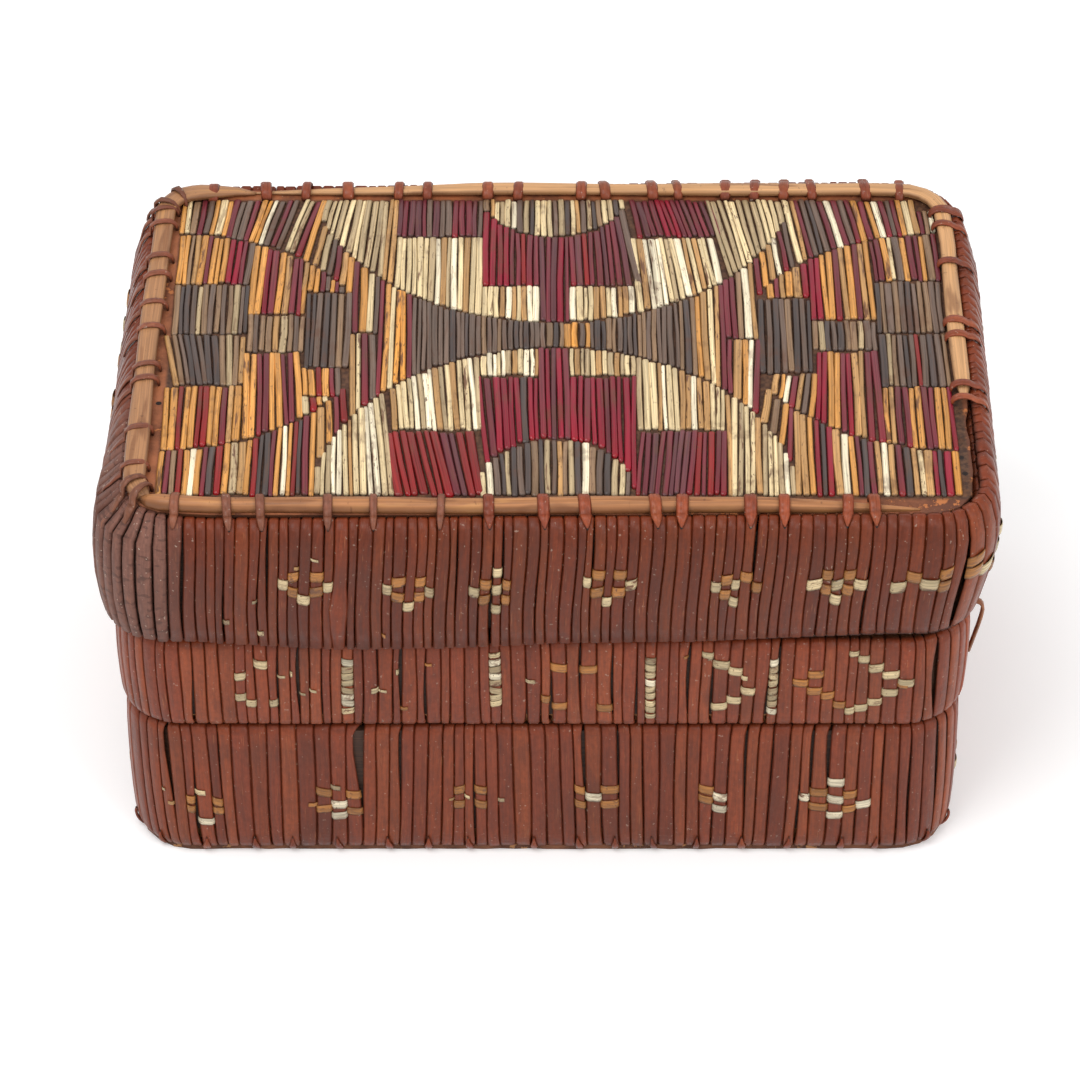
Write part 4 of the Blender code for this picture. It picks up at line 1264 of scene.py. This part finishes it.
area(
    "left_back_stripes",
    (LEFT_OUTER, 25.5, LEFT_BACK, "ootnomooorrmd"),
    (LEFT_INNER, 12.5, LEFT_BACK, "oormonmmo"),
    ((-63.4, -52), 22, LEFT_BACK, "noomdomd"),
)
area(
    "left_front_stripes",
    (LEFT_OUTER, LEFT_FRONT, -17.5, "ooqooqqoomno"),
    (LEFT_INNER, LEFT_FRONT, -3.5, "oommoommo"),
    ((-62, -52), -22, -10, "ooqomd"),
    ((-62, -52), LEFT_FRONT, -22, "cqocod"),
)
area(
    "right_steps",
    ((56, 70), -12.5, 19.5, "kdkdtkdk"),
    (RIGHT_INNER, -3, 10, "*dtdkg"),
    (RIGHT_OUTER, 4.5, 27, "ktdtdkdttdd"),
    (RIGHT_OUTER, -18, 4.5, "kgtdkdqdkdt"),
)
area(
    "right_back_stripes",
    ((59, 70), 19.5, RIGHT_BACK, "omnonr"),
    (RIGHT_INNER, 10, RIGHT_BACK, "rroomnomno"),
    (RIGHT_OUTER, 27, RIGHT_BACK, "mmocdommotm"),
)
area(
    "right_front_stripes",
    ((59, 70), RIGHT_FRONT, -12.5, "nowmndo"),
    (RIGHT_INNER, RIGHT_FRONT, -3, "rroomrnnmm"),
    (RIGHT_OUTER, RIGHT_FRONT, -18, "onmmoommoor"),
)
area(
    "corner_back_left",
    ((-97, -60), LEFT_BACK, BACK, "octmdocomddmoywdmdncgmo"),
    ((-60, -50), LEFT_BACK, BACK_ARC, "ngdmno"),
)
area(
    "corner_front_left",
    ((-97, -57.5), FRONT, LEFT_FRONT, "omtqowomkqognoqkkmowoqkmo"),
    ((-57.5, -50), FRONT_ARC, LEFT_FRONT, "nomq"),
)
area(
    "corner_back_right",
    ((56, 66), RIGHT_BACK, BACK_ARC, "monwmd"),
    ((66, 100.5), RIGHT_BACK, BACK, "cnmdkdmwmdmomowmdmocn"),
    ((100.5, 105), RIGHT_BACK, 58.5, "mtw"),
)
area(
    "corner_front_right",
    ((56, 63.5), FRONT_ARC, RIGHT_FRONT, "ntom"),
    ((63.5, 105), FRONT, RIGHT_FRONT, "nnorkrnwomkmnwnmkncnrkry"),
)


# %% [markdown]
# ## Quills woven into the walls
#
# Short pieces of flat quill pass over a single turn of root and tuck in on both sides. On the lid
# they make small crosses, on the middle ring ladders and diamonds, and on the lowest ring crosses
# again. Many have broken off. Each piece is laid on the surface of its own turn of root, so it sits
# right on the curve of the wall. The sides that the picture doesn't show carry the same bands.
#
# The faces below are how far each front wall is from the middle of the box, and the bands are the
# heights of the motifs. A piece reaches a tuck to each side of the middle of its turn, where 0.5 is
# the edge of the root. Its place along the turn is found among the steps of the search.


# %% Weaving
LID_FACE, MIDDLE_FACE, LOWER_FACE = 74.3, 69.5, 68.5
LID_BAND, MIDDLE_BAND, LOWER_BAND = 98.5, 61.6, 20.0
TUCK = 0.57
SEARCH = np.linspace(0.25, 0.95, 71)
print("bands of quill at", LID_BAND, MIDDLE_BAND, "and", LOWER_BAND, "mm")


def weave(bundle, winding, index, height, tall, letter, span=(-TUCK, TUCK)):
    """One piece over one turn of root, its middle at a height. span is the part of it that is left."""
    turn = winding.turns[index % winding.count]
    z = turn(np.zeros_like(SEARCH), SEARCH, np.ones_like(SEARCH))[:, 2]
    middle = SEARCH[np.argmin(abs(z - height))]
    reach = tall / abs(z[-6] - z[5]) * (SEARCH[-6] - SEARCH[5])
    tilt, loose = CHANCE.uniform(-0.012, 0.012), CHANCE.uniform(0.0, 0.14)

    def place(across, along, up):
        side = span[0] + (span[1] - span[0]) * along
        arch = np.interp(abs(side), (0.36, 0.46, TUCK), (1.04 + loose, 0.86, 0.25))
        return turn(side, middle + across * reach + tilt * side, arch + up * 0.24)

    bright = CHANCE.uniform(0.52, 0.84)
    bundle.lay(place, tall, 4.0, tuple(c * bright for c in DYES[letter]), CHANCE.choice([0.3, 0.7, 1.0]))


def weave_all(bundle, winding, y, tall, motifs):
    """Motifs read on the picture's side, by the x of their middle: turn, height, turn, height..."""
    for x, dyes in motifs.items():
        middle = winding.nearest(x, y)
        for letter, spots in dyes.items():
            for column, height in zip(spots[::2], spots[1::2]):
                weave(bundle, winding, middle + column, height, tall, letter)


def stubs(bundle, winding, y, spots):
    """Broken ends of pieces that are gone, each at one edge of its turn: x, height, x, height..."""
    for x, height in zip(spots[::2], spots[1::2]):
        edge = CHANCE.choice([(-0.6, -0.1), (-0.6, 0.1), (0.05, 0.6)])
        tall, letter = CHANCE.uniform(0.6, 1.5), CHANCE.choice("cgnb")
        weave(bundle, winding, winding.nearest(x, y), height, tall, letter, edge)


CROSS = [(0, 1, "c"), (0, 0, "c"), (0, -1, "c"), (-2, 0, "c"), (2, 0, "c")]
CROSS += [(c, r, "b") for c in (-1, 1) for r in (-0.5, 0.5)]
DIAMOND = [(c, s * (1 - abs(c) / 4), "c") for c in range(-4, 5) for s in ((1, -1) if abs(c) < 4 else (1,))]
LADDER = [(0, 1 - step / 3.5, "c") for step in range(8)]


def motif(bundle, winding, x, y, height, shape, rise, tall, kept):
    """A whole motif on a hidden side. kept is the share of its pieces that are still there."""
    middle = winding.nearest(x, y)
    for column, level, letter in shape:
        if CHANCE.random() < kept:
            weave(bundle, winding, middle + column, height + level * rise, tall, letter)


print("a cross is", len(CROSS), "pieces, a diamond", len(DIAMOND))


# %% Crosses on the lid's wall
lid_band = Bundle(QUILL)
weave_all(lid_band, lid_winding, -LID_FACE, 2.6, {
    -61.2: {"c": (-2, 99.1, 2, 98.5, 0, 94.2), "b": (-1, 102.1, -1, 96.5, 1, 102.1, 1, 96.5)},
    -35.0: {"c": (-2, 98.1, 2, 97.1, 0, 92.2), "b": (-1, 100.4, -1, 95.5, 1, 100.4, 1, 95.5)},
    -11.3: {"c": (-2, 97.1, 0, 103.4, 0, 97.5, 0, 91.2), "b": (-1, 99.8, -1, 94.2, 1, 99.8, 1, 94.2)},
    16.3: {"c": (-2, 100.1, 0, 93.5, 2, 99.1), "b": (-1, 102.4, -1, 96.8, 1, 102.4, 1, 96.8)},
    47.2: {"c": (-2, 98.5, 0, 99.1, 0, 93.8), "b": (-1, 101.4, -1, 95.8, 1, 102.1, 2, 98.8)},
    72.0: {"c": (-2, 99.8, 0, 99.8, 0, 94.2, 2, 99.8), "b": (-1, 102.7, -1, 97.5, 1, 102.4, 1, 97.5)},
    97.4: {"c": (-2, 98.8, 0, 99.8), "b": (-1, 102.1, 1, 102.4, 1, 98.5, 3, 104.4, 3, 100.4)},
})
LID_STUBS = [-62.2, 105.3, -58.8, 107.2, -74.6, 93.2, -71.0, 82.4, -78.2, 85.9, -38.3, 80.9]
stubs(lid_band, lid_winding, -LID_FACE, LID_STUBS)
hidden = [(x, LID_FACE, 0.8) for x in range(-90, 91, 26)]
hidden += [(-112.5, y, 0.4) for y in (-27, -5, 17, 39)]
for x, y, kept in hidden + [(113.8, y, 0.8) for y in (-56, -30, -4, 22, 48)]:
    motif(lid_band, lid_winding, x, y, LID_BAND, CROSS, 6.1, 2.6, kept)
lid_band.build("lid_woven_quills", WOVEN_FINISH, "lid")

# %% Ladders and diamonds on the middle ring
LADDERS = [(-50.6, 52.4, 70.9, 1), (-12.2, 54.8, 72.0, 0.8), (27.5, 50.3, 70.2, 1), (58.7, 52.4, 70.2, 1)]
bars = Bundle(QUILL)
for x, low, high, kept in LADDERS:
    for height in np.arange(low, high, 2.4):
        if CHANCE.random() < kept:
            index, letter = middle_winding.nearest(x, -MIDDLE_FACE), CHANCE.choice("gcgw")
            weave(bars, middle_winding, index, height, 1.7, letter)
weave_all(bars, middle_winding, -MIDDLE_FACE, 2.0, {
    -75.8: {"c": (-1, 64.4, -1, 57.2, 1, 68.5, 0, 54.8, 2, 55.1)},
    8.0: {"b": (-1, 67.1, 1, 66.8, -2, 56.5, -1, 54.1, 2, 53.4)},
    45.2: {"c": (-1, 71.5, 0, 68.5, 1, 65.8, 2, 59.3, 1, 56.2, 0, 54.1)},
    68.4: {"b": (-1, 62.0, 0, 64.7, 0, 59.6, 1, 57.5, 2, 54.4)},
    81.4: {"c": (-1, 52.0, 0, 53.6, 1, 55.4, 2, 58.6, 3, 62.3, 2, 65.0, 1, 67.4, 0, 69.9, -1, 72.0)},
})
MIDDLE_STUBS = [-65.6, 64.3, -62.5, 65.4, -62.2, 58.0, -57.2, 59.1, -44.4, 59.1, -40.8, 59.1]
MIDDLE_STUBS += [-33.8, 53.4, -36.7, 66.0, -28.7, 68.3, -3.3, 62.6, 36.0, 70.6, 42.6, 70.1]
MIDDLE_STUBS += [51.2, 63.6, 91.5, 61.1]
stubs(bars, middle_winding, -MIDDLE_FACE, MIDDLE_STUBS)
for x in range(-96, 97, 32):
    motif(bars, middle_winding, x, MIDDLE_FACE, MIDDLE_BAND, LADDER, 9.3, 1.7, 0.85)
    motif(bars, middle_winding, x + 16, MIDDLE_FACE, MIDDLE_BAND, DIAMOND, 9.5, 2.2, 0.7)
for y in (-40, -6, 28):
    for x in (-109.8, 109.8):
        motif(bars, middle_winding, x, y, MIDDLE_BAND, LADDER, 9.3, 1.7, 0.8)
        motif(bars, middle_winding, x, y + 17, MIDDLE_BAND, DIAMOND, 9.5, 2.2, 0.7)
bars.build("middle_woven_quills", WOVEN_FINISH, "base")

# %% Crosses on the lowest ring
low_band = Bundle(QUILL)
weave_all(low_band, lower_winding, -LOWER_FACE, 2.2, {
    -87.5: {"b": (-1, 20.3, -1, 16.4, 1, 19.2, 1, 15.6), "w": (0, 12.4)},
    -54.2: {"b": (-1, 22.8, -1, 16.7, 1, 21.7, 1, 16.0), "w": (0, 18.5, 0, 14.6)},
    -18.8: {"b": (-1, 23.9, -1, 18.5, 1, 23.5, 1, 18.5)},
    14.4: {"b": (-1, 23.9, -1, 18.5, 1, 23.5, 1, 18.5), "w": (0, 20.7)},
    47.5: {"b": (-1, 23.5, -1, 19.9), "w": (0, 21.4, 0, 17.1)},
    75.4: {"w": (-2, 20.7, 0, 26.0, 0, 20.3, 0, 14.2, 2, 18.5), "b": (-1, 23.2, -1, 17.8, 1, 21.7, 1, 16.7)},
})
LOW_STUBS = [-98.4, 22.6, -98.4, 18.7, -89.2, 23.0, -52.6, 24.8, -61.0, 18.7, -25.7, 20.2]
stubs(low_band, lower_winding, -LOWER_FACE, LOW_STUBS + [-18.4, 21.1, -7.9, 20.2])
hidden = [(x, LOWER_FACE) for x in range(-84, 85, 34)]
for x, y in hidden + [(x, y) for y in (-44, -11, 22, 50) for x in (-108.8, 108.8)]:
    motif(low_band, lower_winding, x, y, LOWER_BAND, CROSS, 5.6, 2.2, 0.8)
low_band.build("lower_woven_quills", WOVEN_FINISH, "base")


# %% [markdown]
# ## Bottom stitches and the sprung root
#
# The bottom is sewn to the lowest hoop by a running root, of which short tapered stitches show
# under its foot. At the right of the middle ring one end has sprung out and stands in a flat bow.


# %% Stitches and loose end
STITCH_COUNT, STITCH_REACH, FLOOR_GAP = 58, 4.4, 0.05
STITCH = [(3.7, 6.2), (4.0, 5.2), (4.0, 4.2), (3.7, 3.2), (3.2, 2.3), (2.6, 1.5), (1.9, 0.9)]
SPRUNG = [(109.4, 73.6), (111.6, 73.8), (112.9, 72.0), (112.8, 68.6), (112.1, 64.2), (111.2, 59.6)]
SPRUNG += [(110.3, 55.0)]


def bottom_stitches():
    bundle = Bundle(LASH)
    around = RING.marks(STITCH_REACH)[-1]
    for index in range(STITCH_COUNT):
        middle = around * (index + CHANCE.uniform(0.25, 0.75)) / STITCH_COUNT
        width, lean = CHANCE.uniform(1.8, 2.5), CHANCE.uniform(-1.0, 1.0)

        def place(across, along, up):
            offset, z = raised(STITCH, along, up * 0.7)
            broad = np.interp(along, (0, 0.25, 0.6, 1), (0.1, 0.45, 1, 1))
            distance = middle + across * width * broad + lean * (along - 0.5)
            return place_plain(RING.walk(distance, STITCH_REACH, offset), np.maximum(z, FLOOR_GAP))

        bundle.lay(place, width, 6.0, root_shade())
    bundle.build("bottom_stitches", LASH_FINISH, "base", "bottom_stitching")


def sprung_root():
    bundle = Bundle(LASH)

    def place(across, along, up):
        x, z = raised(SPRUNG, along, up * 0.8)
        return np.stack([x, -52.0 + 3.0 * along + across * (2.6 - 0.8 * along), z], -1)

    bundle.lay(place, 1.8, 20.0, paint(150, 96, 62), 0.3)
    bundle.build("sprung_root_end", LASH_FINISH, "base", "loose_root")


bottom_stitches()
sprung_root()


# %% [markdown]
# ## The inside of the lid's wall
#
# When the lid is lifted, light would shine through the slits between the roots. In the real wall it
# can't, because each turn also runs up behind the bent splint. These inner runs follow a section of
# their own, from under the foot, up past the liner and out below the panel.


# %% Inner runs
def lid_inner_section(x, y):
    """Section of the inner run, from the foot to the rim. It faces the inside of the box."""
    rim, belly = drawn_in(x, y)
    low = foot(x, y)
    under = [(6.0 - belly, low + 1.7), (4.6 - belly * 0.7, low + 1.3), (2.8 - belly * 0.3, low + 1.2)]
    up = [(1.7, low + 1.9), (1.45, low + 4.5), (1.5, 92.0), (1.5, 102.0), (1.6, 110.0)]
    return np.array(under + up + [(2.0, 112.6), (3.2, 113.9), (PANEL_RIM - rim + 0.3, 114.5)])


bundle = Bundle(ROOT)
for index in range(lid_winding.count):
    place = lid_winding.turn(index, -0.06, (0, 0.5), 0.7, 0.1, (0, 0.5), lid_inner_section)
    bundle.lay(place, lid_winding.width(index), 50.0, root_shade(0.85), 0.1)
bundle.build("lid_inner_roots", ROOT_FINISH, "lid")


# %% [markdown]
# ## Floor and light
#
# The picture was taken on a white sweep in soft light from all around, with hardly a shadow. A big
# floor takes the place of the sweep. It is pure white where the camera sees it, but a light grey for
# the light that it throws back on the box. An even white sky fills the shadows. Two wide lamps, one
# above the left front and a weaker one further off at the right, give the roots and quills their
# soft highlights.


# %% Floor
SWEEP_SIZE = 8.0
SEEN_WHITE, LIT_GREY = (1.0, 1.0, 1.0), (0.72, 0.72, 0.72)
SEEN_GLOW, LIT_GLOW = (0.1, 0.1, 0.1), (0.0, 0.0, 0.0)

start_piece()
bpy.ops.mesh.primitive_plane_add(size=SWEEP_SIZE, location=(0, 0, 0))
sweep = bpy.context.object
sweep.name = "floor"
f = Finish("white_sweep", roughness=0.9, shine=0.0)
rays, ways = f.tree.nodes.new("ShaderNodeLightPath"), ("Camera", "Glossy", "Transmission")
by_camera, by_gloss, by_glass = [Wire(f, rays.outputs[f"Is {way} Ray"]) for way in ways]
seen = by_camera + by_gloss + by_glass
f.shader.inputs["Emission Strength"].default_value = 1.0
f.set(
    Base_Color=f.mix(seen, LIT_GREY, SEEN_WHITE),
    Emission_Color=f.mix(seen, LIT_GLOW, SEEN_GLOW),
)
sweep.data.materials.append(f.material)
print("floor of", SWEEP_SIZE, "m")


# %% Light
SKY_STRENGTH = 0.84


def lamp(name, place, aim, size, power):
    data = bpy.data.lights.new(name, "AREA")
    data.shape, data.size, data.energy = "SQUARE", size, power
    obj = bpy.data.objects.new(name, data)
    bpy.context.scene.collection.objects.link(obj)
    obj.location = place
    obj.rotation_euler = (Vector(aim) - Vector(place)).to_track_quat("-Z", "Y").to_euler()
    print(name, power, "W")


world = bpy.data.worlds.new("studio")
world.use_nodes = True
background = world.node_tree.nodes["Background"]
background.inputs["Color"].default_value = (1.0, 1.0, 1.0, 1.0)
background.inputs["Strength"].default_value = SKY_STRENGTH
bpy.context.scene.world = world
lamp("soft_key", (-0.45, -0.5, 1.3), (0, 0, 0.08), 0.75, 8.0)
lamp("soft_fill", (0.9, -1.0, 0.9), (0, 0, 0.06), 0.8, 6.0)

bpy.context.scene.view_settings.view_transform = "Standard"
